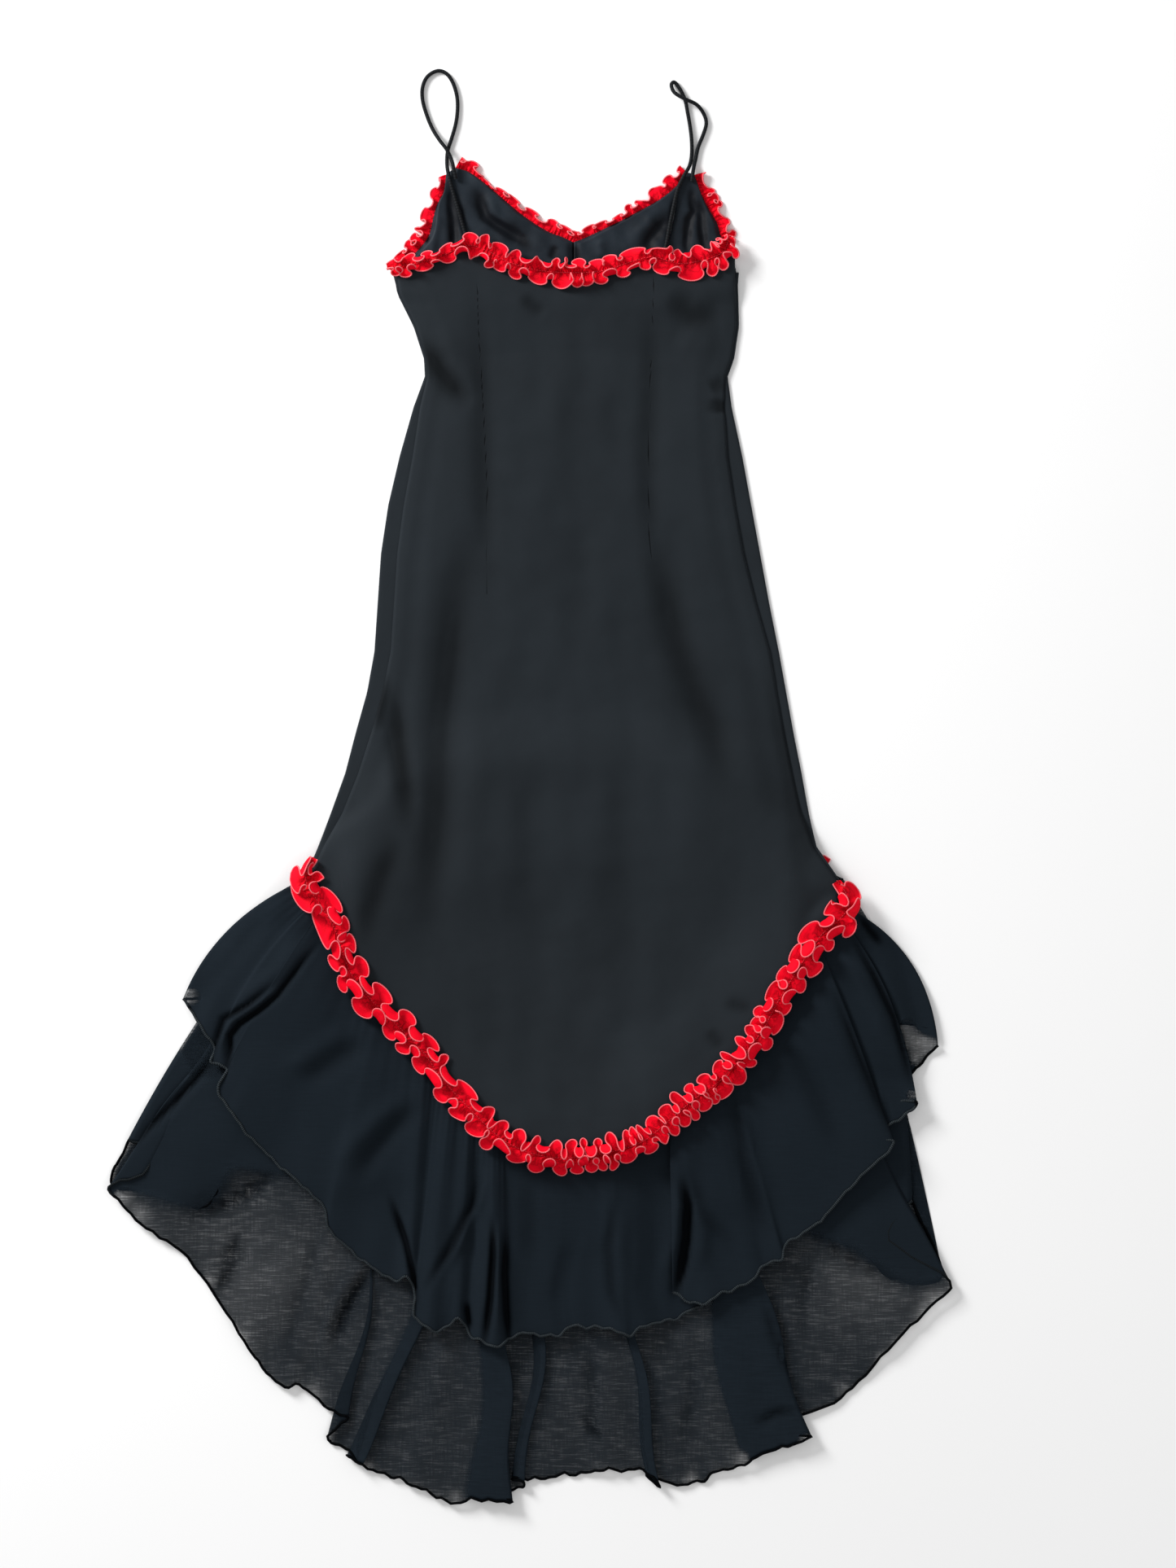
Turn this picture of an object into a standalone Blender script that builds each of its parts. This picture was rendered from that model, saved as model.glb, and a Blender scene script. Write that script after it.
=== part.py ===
"""A high-low slip dress with ruffle trim, laid flat on its front with its back upwards.

Every piece of cloth is a thin closed wall. The pieces are laid down one after the other, from
the floor up, and each one rests on the heights of what already lies there.
Metres, +X to the right of the laid dress, +Y towards its straps, +Z up from the floor.
"""

import math
from collections import namedtuple

import bpy
import numpy as np

# Driving sizes, in metres
DRESS_LENGTH = 1.676
CREPE = 0.0012
CHIFFON = 0.0010
GAP = 0.0003
STRAP_RADIUS = 0.0021
HEM_RUFFLE_HALF = 0.0195
NECK_RUFFLE_HALF = 0.0200
LEFT_ARMHOLE_RUFFLE_OUT = 0.0165
RIGHT_ARMHOLE_RUFFLE_OUT = 0.0135
V_RUFFLE_OUT = 0.0098
EDGE_TUCK = 0.0055
EDGE_RUFFLE_RISE = 0.0050
NECK_RUFFLE_RISE = 0.0080
HEM_RUFFLE_RISE = 0.0090
BODY_PUFF = 0.0065
SIDE_PUFF = 0.0026
LINING_FULLNESS = 0.0030
SIDE_TURN = 0.0028

# The tables give places on the laid dress in steps across from its left and down from its top,
# on a square grid whose step follows from the dress's length, strap to hem.
GRID_TOP = 84
GRID_HEM = 1848
STEP = DRESS_LENGTH / (GRID_HEM - GRID_TOP)
MIDDLE_ACROSS = 650.5
MIDDLE_DOWN = 964.9
MILLIMETRE = 0.001

Section = namedtuple("Section", "down left right seam_left seam_right")
Place = namedtuple("Place", "across down")
Turn = namedtuple("Turn", "seam across down lift")
Crease = namedtuple("Crease", "name depth width path")
Stop = namedtuple("Stop", "across down lift")
Bow = namedtuple("Bow", "left left_reach right right_reach")
Edge = namedtuple("Edge", "name route waves out_width seed")

# Outline of the body at each height, and the side seams that show on top of it
SECTIONS = [
    Section(334, 484, 906, 487, 903),
    Section(360, 488, 907, 491, 904),
    Section(400, 508, 908, 511, 905),
    Section(440, 521, 902, 524, 899),
    Section(462, 522, 894, 525, 891),
    Section(500, 508, 899, 516, 890),
    Section(560, 491, 912, 507, 894),
    Section(620, 477, 923, 496, 903),
    Section(680, 468, 934, 488, 914),
    Section(740, 464, 945, 484, 929),
    Section(800, 460, 957, 480, 946),
    Section(850, 451, 966, 470, 955),
    Section(900, 437, 975, 456, 964),
    Section(950, 424, 985, 440, 974),
    Section(1000, 406, 994, 420, 985),
    Section(1040, 391, 1003, 398, 998),
    Section(1085, 374, 1034, 377, 1031),
]

# Edges of the front's top, from each strap down: armholes to the side, neck to the V's point
LEFT_ARMHOLE = [
    Place(548, 213), Place(545, 235), Place(537, 250), Place(532, 268),
    Place(526, 290), Place(510, 310), Place(484, 334),
]
LEFT_NECK = [
    Place(559, 205), Place(577, 211), Place(600, 228), Place(640, 262),
    Place(672, 283), Place(690, 290), Place(705, 297),
]
RIGHT_ARMHOLE = [
    Place(853, 213), Place(862, 238), Place(871, 256), Place(881, 273),
    Place(886, 290), Place(893, 303), Place(906, 334),
]
RIGHT_NECK = [
    Place(846, 211), Place(833, 226), Place(811, 244), Place(775, 264),
    Place(745, 279), Place(722, 290), Place(705, 297),
]
EDGES = [
    Edge("neck_ruffle_left", LEFT_NECK[::-1], 9, V_RUFFLE_OUT, 3),
    Edge("armhole_ruffle_left", LEFT_ARMHOLE, 7, LEFT_ARMHOLE_RUFFLE_OUT, 5),
    Edge("neck_ruffle_right", RIGHT_NECK, 9, V_RUFFLE_OUT, 7),
    Edge("armhole_ruffle_right", RIGHT_ARMHOLE[::-1], 7, RIGHT_ARMHOLE_RUFFLE_OUT, 11),
]
CENTRE_FRONT = 705
FRONT_SEAM_AT_CENTRE = 985
SIDE_SEAM_END = 1085
LINING_END = 352
LINING_END_AT_CENTRE = 340

# Back neckline, pulled up where the straps and side seams hold it
BACK_NECK = [
    Place(476, 330), Place(520, 323), Place(545, 315), Place(575, 303), Place(600, 310),
    Place(625, 323), Place(660, 333), Place(700, 336), Place(740, 334), Place(775, 323),
    Place(802, 317), Place(834, 325), Place(870, 319), Place(902, 303),
]

# Seam between the back of the skirt and its flounces: a deep V with a round point
HEM_SEAM = [
    Place(374, 1085), Place(395, 1110), Place(412, 1138), Place(421, 1165), Place(434, 1197),
    Place(460, 1230), Place(493, 1262), Place(520, 1290), Place(545, 1325), Place(580, 1362),
    Place(615, 1395), Place(650, 1413), Place(690, 1420), Place(740, 1415), Place(785, 1402),
    Place(815, 1380), Place(850, 1350), Place(885, 1325), Place(912, 1295), Place(935, 1265),
    Place(951, 1235), Place(969, 1205), Place(985, 1180), Place(1008, 1148), Place(1036, 1118),
]
HEM_RUFFLE_LEFT_END = [Place(369, 1066), Place(379, 1087)]
HEM_RUFFLE_RIGHT_END = [Place(1025, 1124), Place(1030, 1104), Place(1027, 1084)]

# Soft troughs in the back of the dress, with their depth and width
CREASES = [
    Crease("left dart", 0.0030, 16, [Place(587, 345), Place(594, 497), Place(599, 740)]),
    Crease("right dart", 0.0030, 16, [Place(804, 345), Place(797, 564), Place(803, 715)]),
    Crease("left waist", 0.0045, 18, [Place(523, 443), Place(548, 472), Place(580, 504)]),
    Crease("left side", 0.0050, 18, [Place(486, 834), Place(495, 945), Place(487, 1056)]),
    Crease("left long", 0.0060, 24, [Place(566, 720), Place(549, 900), Place(531, 1160)]),
    Crease("right long", 0.0060, 24, [Place(807, 740), Place(859, 870), Place(906, 1020)]),
    Crease("right side", 0.0040, 18, [Place(962, 900), Place(978, 1000), Place(981, 1095)]),
    Crease("right bust", 0.0050, 22, [Place(825, 372), Place(860, 390), Place(888, 392)]),
    Crease("right waist", 0.0040, 16, [Place(888, 480), Place(868, 508)]),
]
LINING_CREASES = [
    Crease("left strap", 0.0025, 7, [Place(556, 232), Place(562, 320)]),
    Crease("left cup", 0.0030, 12, [Place(582, 240), Place(605, 275), Place(650, 300)]),
    Crease("right strap", 0.0030, 9, [Place(849, 235), Place(843, 310)]),
    Crease("right edge", 0.0025, 7, [Place(858, 245), Place(868, 310)]),
    Crease("right cup", 0.0030, 12, [Place(822, 262), Place(795, 300)]),
]

# Hem of the back's upper flounce, a row for each turn of the cloth from its left fold to its
# right one. The seam column is where that line of the cloth leaves the hem seam, and the lift
# is the height of the fold in millimetres. Cloth that turns back under itself steps backwards.
UPPER_BACK_TURNS = [
    Turn(375, 225, 1236, 0.0), Turn(385, 246, 1263, 0.0), Turn(401, 284, 1309, 1.0),
    Turn(395, 266, 1318, 5.0), Turn(410, 278, 1350, 7.0), Turn(424, 305, 1394, 5.5),
    Turn(438, 345, 1432, 2.0), Turn(453, 395, 1478, 3.0), Turn(470, 407, 1512, 5.0),
    Turn(492, 448, 1549, 3.0), Turn(510, 480, 1570, 4.0), Turn(524, 500, 1568, 8.0),
    Turn(536, 510, 1589, 3.0), Turn(546, 509, 1613, 4.0), Turn(556, 524, 1629, 8.0),
    Turn(568, 545, 1631, 5.0), Turn(578, 563, 1619, 7.0), Turn(588, 577, 1636, 2.0),
    Turn(598, 591, 1645, 7.0), Turn(607, 606, 1652, 11.0), Turn(616, 621, 1648, 7.0),
    Turn(626, 632, 1638, 2.0), Turn(648, 682, 1639, 4.0), Turn(672, 706, 1629, 4.0),
    Turn(694, 745, 1630, 5.0), Turn(708, 768, 1638, 8.0), Turn(724, 786, 1630, 4.0),
    Turn(748, 828, 1619, 1.0), Turn(780, 862, 1602, 1.0), Turn(776, 845, 1594, 5.0),
    Turn(772, 827, 1588, 9.0), Turn(796, 862, 1600, 9.0), Turn(820, 890, 1585, 6.0),
    Turn(846, 922, 1573, 5.0), Turn(862, 940, 1550, 3.0), Turn(876, 960, 1547, 7.0),
    Turn(888, 966, 1526, 4.0), Turn(904, 1003, 1502, 5.0), Turn(924, 1050, 1450, 9.5),
    Turn(949, 1097, 1403, 10.5), Turn(943, 1066, 1400, 6.5), Turn(964, 1108, 1371, 5.5),
    Turn(984, 1126, 1354, 6.0), Turn(978, 1098, 1348, 2.0), Turn(1006, 1130, 1308, 0.5),
    Turn(1036, 1153, 1285, 0.0),
]
UPPER_BACK_BOW = Bow(22, 0.16, 30, 0.16)

# Hem of the back's lower, sheer flounce
LOWER_BACK_TURNS = [
    Turn(375, 157, 1400, 0.0), Turn(396, 184, 1412, 0.5), Turn(392, 176, 1442, 3.5),
    Turn(388, 134, 1456, 6.5), Turn(405, 151, 1480, 6.5), Turn(427, 180, 1509, 5.0),
    Turn(447, 222, 1537, 1.5), Turn(464, 262, 1589, 2.0), Turn(478, 300, 1647, 3.0),
    Turn(492, 322, 1680, 2.0), Turn(506, 350, 1704, 4.0), Turn(518, 372, 1703, 2.0),
    Turn(530, 404, 1732, 6.0), Turn(546, 428, 1741, 7.0), Turn(540, 402, 1766, 3.5),
    Turn(556, 424, 1783, 0.5), Turn(567, 430, 1790, 4.0), Turn(576, 441, 1799, 7.0),
    Turn(585, 456, 1806, 3.0), Turn(596, 480, 1815, 1.0), Turn(606, 500, 1820, 3.0),
    Turn(616, 530, 1836, 1.5), Turn(626, 560, 1846, 4.0), Turn(636, 592, 1841, 6.5),
    Turn(652, 630, 1845, 8.5), Turn(646, 602, 1836, 3.5), Turn(663, 637, 1830, 0.5),
    Turn(674, 650, 1817, 4.0), Turn(690, 688, 1814, 1.0), Turn(706, 720, 1809, 1.0),
    Turn(720, 748, 1806, 4.0), Turn(734, 786, 1806, 2.0), Turn(744, 797, 1814, 6.0),
    Turn(753, 806, 1824, 7.0), Turn(764, 832, 1824, 1.0), Turn(778, 862, 1821, 1.0),
    Turn(789, 878, 1808, 3.0), Turn(799, 906, 1803, 6.5), Turn(810, 930, 1789, 7.5),
    Turn(826, 968, 1775, 7.5), Turn(846, 996, 1764, 8.0), Turn(840, 938, 1762, 3.5),
    Turn(864, 1014, 1729, 0.5), Turn(886, 1055, 1698, 1.5), Turn(908, 1100, 1648, 4.5),
    Turn(932, 1143, 1605, 8.0), Turn(966, 1167, 1573, 8.0), Turn(958, 1092, 1522, 2.5),
    Turn(1036, 1121, 1474, 0.0),
]
LOWER_BACK_BOW = Bow(12, 0.10, 24, 0.05)

# Hems of the two flounces of the shorter front, which lie hidden under the back
UPPER_FRONT_TURNS = [
    Turn(377, 234, 1234, 0.0), Turn(470, 372, 1242, 0.0), Turn(590, 560, 1190, 0.0),
    Turn(705, 705, 1168, 0.0), Turn(820, 850, 1190, 0.0), Turn(940, 1026, 1246, 0.0),
    Turn(1032, 1142, 1285, 0.0),
]
LOWER_FRONT_TURNS = [
    Turn(377, 137, 1456, 0.0), Turn(392, 196, 1464, 0.0), Turn(408, 236, 1482, 0.0),
    Turn(420, 261, 1474, 0.0), Turn(430, 286, 1421, 0.0), Turn(450, 342, 1437, 0.0),
    Turn(540, 500, 1400, 0.0), Turn(705, 705, 1362, 0.0), Turn(850, 880, 1420, 0.0),
    Turn(940, 1003, 1511, 0.0), Turn(968, 1060, 1538, 0.0), Turn(992, 1099, 1572, 0.0),
    Turn(1032, 1158, 1567, 0.0),
]
FRONT_BOW = Bow(10, 0.16, 10, 0.16)

# Routes of the two straps, from the back neckline over the lining and round to the front
LEFT_STRAP = [
    Stop(574, 297, 0), Stop(570, 282, 0), Stop(563, 258, 0), Stop(556, 234, 0),
    Stop(550, 214, 0), Stop(546, 199, 0), Stop(549, 184, 0), Stop(555, 168, 0),
    Stop(560, 150, 0), Stop(562, 132, 0), Stop(561, 116, 0), Stop(556, 100, 0),
    Stop(548, 89, 0), Stop(537, 86, 0), Stop(525, 93, 0), Stop(519, 106, 0),
    Stop(519, 122, 0), Stop(524, 140, 0), Stop(531, 157, 1), Stop(540, 172, 5),
    Stop(549, 184, 7), Stop(556, 197, 4), Stop(561, 212, 1),
]
RIGHT_STRAP = [
    Stop(816, 312, 0), Stop(819, 298, 0), Stop(823, 276, 0), Stop(828, 252, 0),
    Stop(833, 232, 0), Stop(840, 215, 0), Stop(848, 203, 0), Stop(851, 189, 0),
    Stop(850, 172, 0), Stop(848, 154, 0), Stop(845, 137, 0), Stop(842, 122, 0),
    Stop(836, 109, 0), Stop(829, 100, 0), Stop(825, 104, 3), Stop(829, 114, 6),
    Stop(842, 122, 7), Stop(856, 128, 3), Stop(865, 139, 0), Stop(868, 151, 0),
    Stop(865, 165, 0), Stop(860, 180, 0), Stop(858, 195, 0), Stop(853, 209, 0),
    Stop(850, 223, 0),
]

# How the cloth is divided: rows and columns of each wall, and steps in one ruffle wave
BODY_ROWS = 25
BODY_COLUMNS = 24
FRONT_ROWS = 15
FRONT_COLUMNS = 6
LINING_ROWS = 3
STEPS_PER_WAVE = 6
STEPS_PER_FLAT_WAVE = 4
NECK_RUFFLE_WAVES = 22
HEM_RUFFLE_WAVES = 40
FRONT_RUFFLE_WAVES = 16
FRONT_RUFFLE_STOPS = 13
FLOUNCE_DOWN = [0.0, 0.1, 0.24, 0.4, 0.55, 0.7, 0.85, 1.0]

# Small distances, in steps
TUCK_UNDER_SEAM = 6
EDGE_CLEAR = 1.5
EDGE_END_CLEAR = 8.0
FRONT_RUFFLE_END_CLEAR = 22
FLAP_UNDER_SEAM = 5
NARROW_FLAP = 8
LEAST_FLAP = 6
LINING_SIDE_CLEAR = 10
LINING_CENTRE_CLEAR = 0.4

# Shape of the waves, the flounces' sides and their pleats
WAVE_MIDDLE = 0.80
WAVE_SWING = 0.24
WAVE_LEAST = 0.65
WAVE_UNEVEN = 0.25
SECOND_EDGE_SHIFT = 2.1
BOW_SIDEWAYS = 0.8
BOW_UPWARDS = 0.6
FOLD_FULL_AT = 0.22
PLEAT_AT_SEAM = 0.6

# How far round each piece looks for the heights it rests on, in cells of the pile
CLOSE = 1
NEAR = 2
WIDE = 3
WIDER = 4
WIDEST = 5

Colour = namedtuple("Colour", "red green blue roughness")
CREPE_BLACK = Colour(0.018, 0.022, 0.026, 0.85)
LINING_NAVY = Colour(0.022, 0.032, 0.042, 0.45)
SHEER_BLACK = Colour(0.022, 0.022, 0.024, 0.80)
RUFFLE_RED = Colour(0.680, 0.006, 0.030, 0.70)
STRAP_BLACK = Colour(0.012, 0.014, 0.016, 0.60)


def metres(across, down):
    """Turn a place on the grid into metres on the floor."""
    x = (np.asarray(across, float) - MIDDLE_ACROSS) * STEP
    y = (MIDDLE_DOWN - np.asarray(down, float)) * STEP
    return x, y


def smooth(points, per_span):
    """Return a smooth curve through the points, with per_span steps from one to the next."""
    given = np.array(points, float)
    first = 2 * given[0] - given[1]
    last = 2 * given[-1] - given[-2]
    guide = np.vstack([first, given, last])
    curve = []
    for index in range(1, len(guide) - 2):
        a, b, c, d = guide[index - 1:index + 3]
        for step in range(per_span):
            t = step / per_span
            curve.append(
                b + 0.5 * t * (c - a + t * (2 * a - 5 * b + 4 * c - d + t * (3 * (b - c) + d - a)))
            )
    curve.append(given[-1])
    return np.array(curve)


def column_of(rows, name, down):
    """Read one column of the sections at any height."""
    return np.interp(down, [row.down for row in rows], [getattr(row, name) for row in rows])


def seam_down(across):
    """Return how far down the hem seam lies at a place across the skirt."""
    curve = smooth(HEM_SEAM, 6)
    return np.interp(across, curve[:, 0], curve[:, 1])


def neck_down(across):
    """Return how far down the back neckline lies at a place across the back."""
    curve = smooth(BACK_NECK, 6)
    return np.interp(across, curve[:, 0], curve[:, 1])


def ease(value):
    """Rise softly from 0 to 1."""
    t = np.clip(value, 0.0, 1.0)
    return t * t * (3 - 2 * t)


def distance_to(route, across, down):
    """Return how far places on the grid lie from a route, in steps."""
    path = np.array(route, float)
    nearest = np.full(np.shape(across), np.inf)
    for start, end in zip(path[:-1], path[1:]):
        run = end - start
        part = ((across - start[0]) * run[0] + (down - start[1]) * run[1]) / run.dot(run)
        part = np.clip(part, 0.0, 1.0)
        aside = np.hypot(across - start[0] - part * run[0], down - start[1] - part * run[1])
        nearest = np.minimum(nearest, aside)
    return nearest


def trough(across, down, creases):
    """Return how deep the creases are at places on the grid, in metres."""
    depth = np.zeros_like(across)
    for crease in creases:
        away = distance_to(crease.path, across, down) / crease.width
        depth = np.maximum(depth, crease.depth * np.exp(-(away ** 2)))
    return depth


class Pile:
    """Heights of all the cloth laid down so far, on square cells over the floor."""

    CELL = 0.005
    LOW = (-0.56, -0.90)
    SHAPE = (224, 370)

    def __init__(self):
        self.heights = np.zeros(self.SHAPE)

    def add(self, piece):
        """Lay the top of a finished piece into the heights."""
        shape = piece.evaluated_get(bpy.context.evaluated_depsgraph_get())
        mesh = shape.to_mesh()
        mesh.calc_loop_triangles()
        points = np.array([vertex.co[:] for vertex in mesh.vertices])
        cells = (points[:, :2] - self.LOW) / self.CELL
        for triangle in mesh.loop_triangles:
            corners = list(triangle.vertices)
            self.add_triangle(cells[corners], points[corners, 2])
        shape.to_mesh_clear()

    def add_triangle(self, corners, tops):
        """Raise the cells under one triangle to its height."""
        low = np.floor(corners.min(axis=0)).astype(int)
        high = np.ceil(corners.max(axis=0)).astype(int) + 1
        i, j = np.meshgrid(np.arange(low[0], high[0]), np.arange(low[1], high[1]), indexing="ij")
        (ax, ay), (bx, by), (cx, cy) = corners
        area = (bx - ax) * (cy - ay) - (cx - ax) * (by - ay)
        if abs(area) < 1e-9:
            return
        b = ((i - ax) * (cy - ay) - (cx - ax) * (j - ay)) / area
        c = ((bx - ax) * (j - ay) - (i - ax) * (by - ay)) / area
        slack = 0.5
        inside = (b >= -slack) & (c >= -slack) & (b + c <= 1 + slack)
        near = (np.abs(i - np.clip(i, *sorted((corners[:, 0].min(), corners[:, 0].max())))) <= 1)
        inside &= near
        height = np.clip(tops[0] + b * (tops[1] - tops[0]) + c * (tops[2] - tops[0]), 0, tops.max())
        view = self.heights[low[0]:high[0], low[1]:high[1]]
        np.maximum(view, np.where(inside, height, 0.0), out=view)

    def raise_strip(self, route, half_width, height):
        """Raise the cells along a route, for a strip of cloth that is slipped in there later."""
        i, j = np.meshgrid(*[np.arange(count) for count in self.SHAPE], indexing="ij")
        across = (i * self.CELL + self.LOW[0]) / STEP + MIDDLE_ACROSS
        down = MIDDLE_DOWN - (j * self.CELL + self.LOW[1]) / STEP
        near = distance_to(route, across, down) < half_width / STEP
        self.heights = np.maximum(self.heights, np.where(near, height, 0.0))

    def rest(self, x, y, reach):
        """Return heights to rest on at x, y: never under what lies within reach cells."""
        level = self.heights.copy()
        for axis in (0, 1):
            level = self.spread(level, axis, 2 * reach, np.maximum.reduce)
        for axis in (0, 1):
            level = self.spread(level, axis, reach, lambda rows: np.mean(rows, axis=0))
        i = (np.asarray(x) - self.LOW[0]) / self.CELL
        j = (np.asarray(y) - self.LOW[1]) / self.CELL
        i0 = np.floor(i).astype(int)
        j0 = np.floor(j).astype(int)
        u = i - i0
        v = j - j0
        near = level[i0, j0] * (1 - v) + level[i0, j0 + 1] * v
        far = level[i0 + 1, j0] * (1 - v) + level[i0 + 1, j0 + 1] * v
        return near * (1 - u) + far * u

    @staticmethod
    def spread(level, axis, reach, combine):
        """Combine each cell with its neighbours along one axis."""
        return combine([np.roll(level, shift, axis=axis) for shift in range(-reach, reach + 1)])


def finish(name, colour):
    """Return a cloth material of one colour."""
    material = bpy.data.materials.new(name)
    material.use_nodes = True
    shader = material.node_tree.nodes["Principled BSDF"]
    shader.inputs["Base Color"].default_value = (colour.red, colour.green, colour.blue, 1.0)
    shader.inputs["Roughness"].default_value = colour.roughness
    shader.inputs["Metallic"].default_value = 0.0
    return material


def split_cells(grid, index):
    """Return each cell of a grid as two triangles, split along its shorter diagonal."""
    faces = []
    for row in range(grid.shape[0] - 1):
        for column in range(grid.shape[1] - 1):
            a, d, b, c = [int(k) for k in index[row:row + 2, column:column + 2].flat]
            near, aside, below, far = grid[row:row + 2, column:column + 2].reshape(4, 3)
            if np.linalg.norm(far - near) < np.linalg.norm(aside - below):
                faces += [(a, b, c), (a, c, d)]
            else:
                faces += [(a, b, d), (b, c, d)]
    return faces


def wall(name, grids, thickness, material, collection):
    """Make one closed wall of cloth from grids of points that share their edges."""
    places = {}
    corners = []
    faces = []
    for grid in grids:
        index = np.empty(grid.shape[:2], int)
        for row in range(grid.shape[0]):
            for column in range(grid.shape[1]):
                point = tuple(float(value) for value in grid[row, column])
                key = tuple(round(value * 1e5) for value in point)
                if key not in places:
                    places[key] = len(corners)
                    corners.append(point)
                index[row, column] = places[key]
        faces += split_cells(grid, index)
    mesh = bpy.data.meshes.new(name)
    mesh.from_pydata(corners, [], faces)
    mesh.materials.append(material)
    piece = bpy.data.objects.new(name, mesh)
    collection.objects.link(piece)
    solidify = piece.modifiers.new("wall", "SOLIDIFY")
    solidify.thickness = thickness
    solidify.offset = 0.0
    mesh.shade_smooth()
    bpy.context.view_layer.update()
    return piece


def unit(vectors):
    """Return the vectors at a length of one."""
    return vectors / np.linalg.norm(vectors, axis=-1, keepdims=True)


def square_to(vectors, runs):
    """Return the vectors without their part along the runs, at a length of one."""
    return unit(vectors - np.sum(vectors * runs, axis=-1, keepdims=True) * runs)


def normals(grid):
    """Return which way the cloth faces at each point, also where it turns back on itself."""
    down = unit(np.gradient(grid, axis=0))
    step = np.diff(grid, axis=1)
    before = np.concatenate([step[:, :1], step], axis=1)
    after = np.concatenate([step, step[:, -1:]], axis=1)
    return unit(np.cross(down, square_to(before, down) + square_to(after, down)))


def folded_wall(name, grid, thickness, material, collection):
    """Make one closed wall of cloth that may turn sharply back over or under itself."""
    half = normals(grid) * thickness / 2
    rows, columns = grid.shape[:2]
    sides = np.stack([grid + half, grid - half])
    index = np.arange(2 * rows * columns).reshape(2, rows, columns)
    faces = split_cells(grid, index[0])
    faces += [loop[::-1] for loop in split_cells(grid, index[1])]
    rim = [(0, column) for column in range(columns)]
    rim += [(row, columns - 1) for row in range(1, rows)]
    rim += [(rows - 1, column) for column in range(columns - 2, -1, -1)]
    rim += [(row, 0) for row in range(rows - 2, 0, -1)]
    for this, after in zip(rim, rim[1:] + rim[:1]):
        faces.append([int(k) for k in (
            index[0][this], index[0][after], index[1][after], index[1][this])])
    mesh = bpy.data.meshes.new(name)
    mesh.from_pydata(sides.reshape(-1, 3).tolist(), [], faces)
    mesh.materials.append(material)
    piece = bpy.data.objects.new(name, mesh)
    collection.objects.link(piece)
    mesh.shade_smooth()
    bpy.context.view_layer.update()
    return piece


def grid_points(across, down, height):
    """Join grids of places and heights into one grid of points in metres."""
    x, y = metres(across, down)
    return np.stack([x, y, height], axis=-1)


def laid_height(pile, across, down, thickness, reach):
    """Return the height of a wall's middle where it rests on the pile, or on the floor."""
    x, y = metres(across, down)
    under = pile.rest(x, y, reach)
    return under + np.where(under > 0, GAP, 0.0) + thickness / 2


def strip_along(route, waves, steps_per_wave, chance):
    """Return the middle of a gathered strip, its left, its phase and its waves' strengths."""
    line = smooth(route, 12)
    along = np.concatenate([[0.0], np.cumsum(np.hypot(*np.diff(line, axis=0).T))])
    lengths = chance.uniform(1 - WAVE_UNEVEN, 1 + WAVE_UNEVEN, waves)
    starts = np.concatenate([[0.0], np.cumsum(lengths)]) * along[-1] / lengths.sum()
    steps = waves * steps_per_wave + 1
    at = np.interp(np.arange(steps) / steps_per_wave, np.arange(waves + 1), starts)
    middle = np.stack([np.interp(at, along, line[:, k]) for k in (0, 1)], axis=-1)
    heading = np.gradient(middle, axis=0)
    heading /= np.linalg.norm(heading, axis=1)[:, None]
    left = np.stack([heading[:, 1], -heading[:, 0]], axis=-1)
    phase = 2 * math.pi * np.arange(steps) / steps_per_wave
    strength = np.interp(at, starts, chance.uniform(WAVE_LEAST, 1.0, waves + 1))
    return middle, left, phase, strength


def ruffle(name, route, waves, half_width, rise, seed, pile, material, collection):
    """Lay a gathered strip, stitched along its middle, whose two edges stand in waves."""
    steps = STEPS_PER_WAVE if rise else STEPS_PER_FLAT_WAVE
    middle, left, phase, strength = strip_along(
        route, waves, steps, np.random.default_rng(seed))
    rows = []
    lifts = []
    for side, shift in ((1, 0.0), (0, 0.0), (-1, SECOND_EDGE_SHIFT)):
        wave = np.cos(phase + shift) * strength
        out = half_width / STEP * (WAVE_MIDDLE + WAVE_SWING * wave)
        rows.append(middle + side * out[:, None] * left)
        lifts.append(abs(side) * rise * (1 + wave) / 2)
    places = np.stack(rows, axis=1)
    across = places[..., 0]
    down = places[..., 1]
    height = laid_height(pile, across, down, CHIFFON, WIDE if rise else CLOSE)
    height = height + np.stack(lifts, axis=1)
    piece = wall(name, [grid_points(across, down, height)], CHIFFON, material, collection)
    pile.add(piece)
    return piece


def edge_ruffle(edge, pile, material, collection):
    """Lay a gathered strip on the floor, tucked under the edge of the bodice it runs along.

    The bodice lies to the left of the route, and the waves stand free on its right.
    """
    middle, left, phase, strength = strip_along(
        shortened(edge.route), edge.waves, STEPS_PER_WAVE, np.random.default_rng(edge.seed))
    wave = np.cos(phase) * strength
    out = edge.out_width / STEP * (WAVE_MIDDLE + WAVE_SWING * wave)
    seam = middle - EDGE_CLEAR * left
    places = np.stack([middle + EDGE_TUCK / STEP * left, seam, seam - out[:, None] * left], axis=1)
    flat = np.zeros_like(wave)
    height = CHIFFON / 2 + np.stack([flat, flat, EDGE_RUFFLE_RISE * (1 + wave) / 2], axis=1)
    grid = grid_points(places[..., 0], places[..., 1], height)
    piece = wall(edge.name, [grid], CHIFFON, material, collection)
    pile.add(piece)
    return piece


def folds_in(table):
    """Say for each row of a table of turns whether the cloth turns back on itself there."""
    forward = np.sign(np.diff(table[:, 0]))
    return np.concatenate([[False], forward[:-1] != forward[1:], [False]])


def with_middles(table):
    """Return the table of turns with a row halfway wherever cloth folds at both ends of a step."""
    folds = folds_in(table)
    rows = [table[0]]
    for index in range(1, len(table)):
        if folds[index - 1] and folds[index]:
            rows.append((table[index - 1] + table[index]) / 2)
        rows.append(table[index])
    return np.array(rows)


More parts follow.
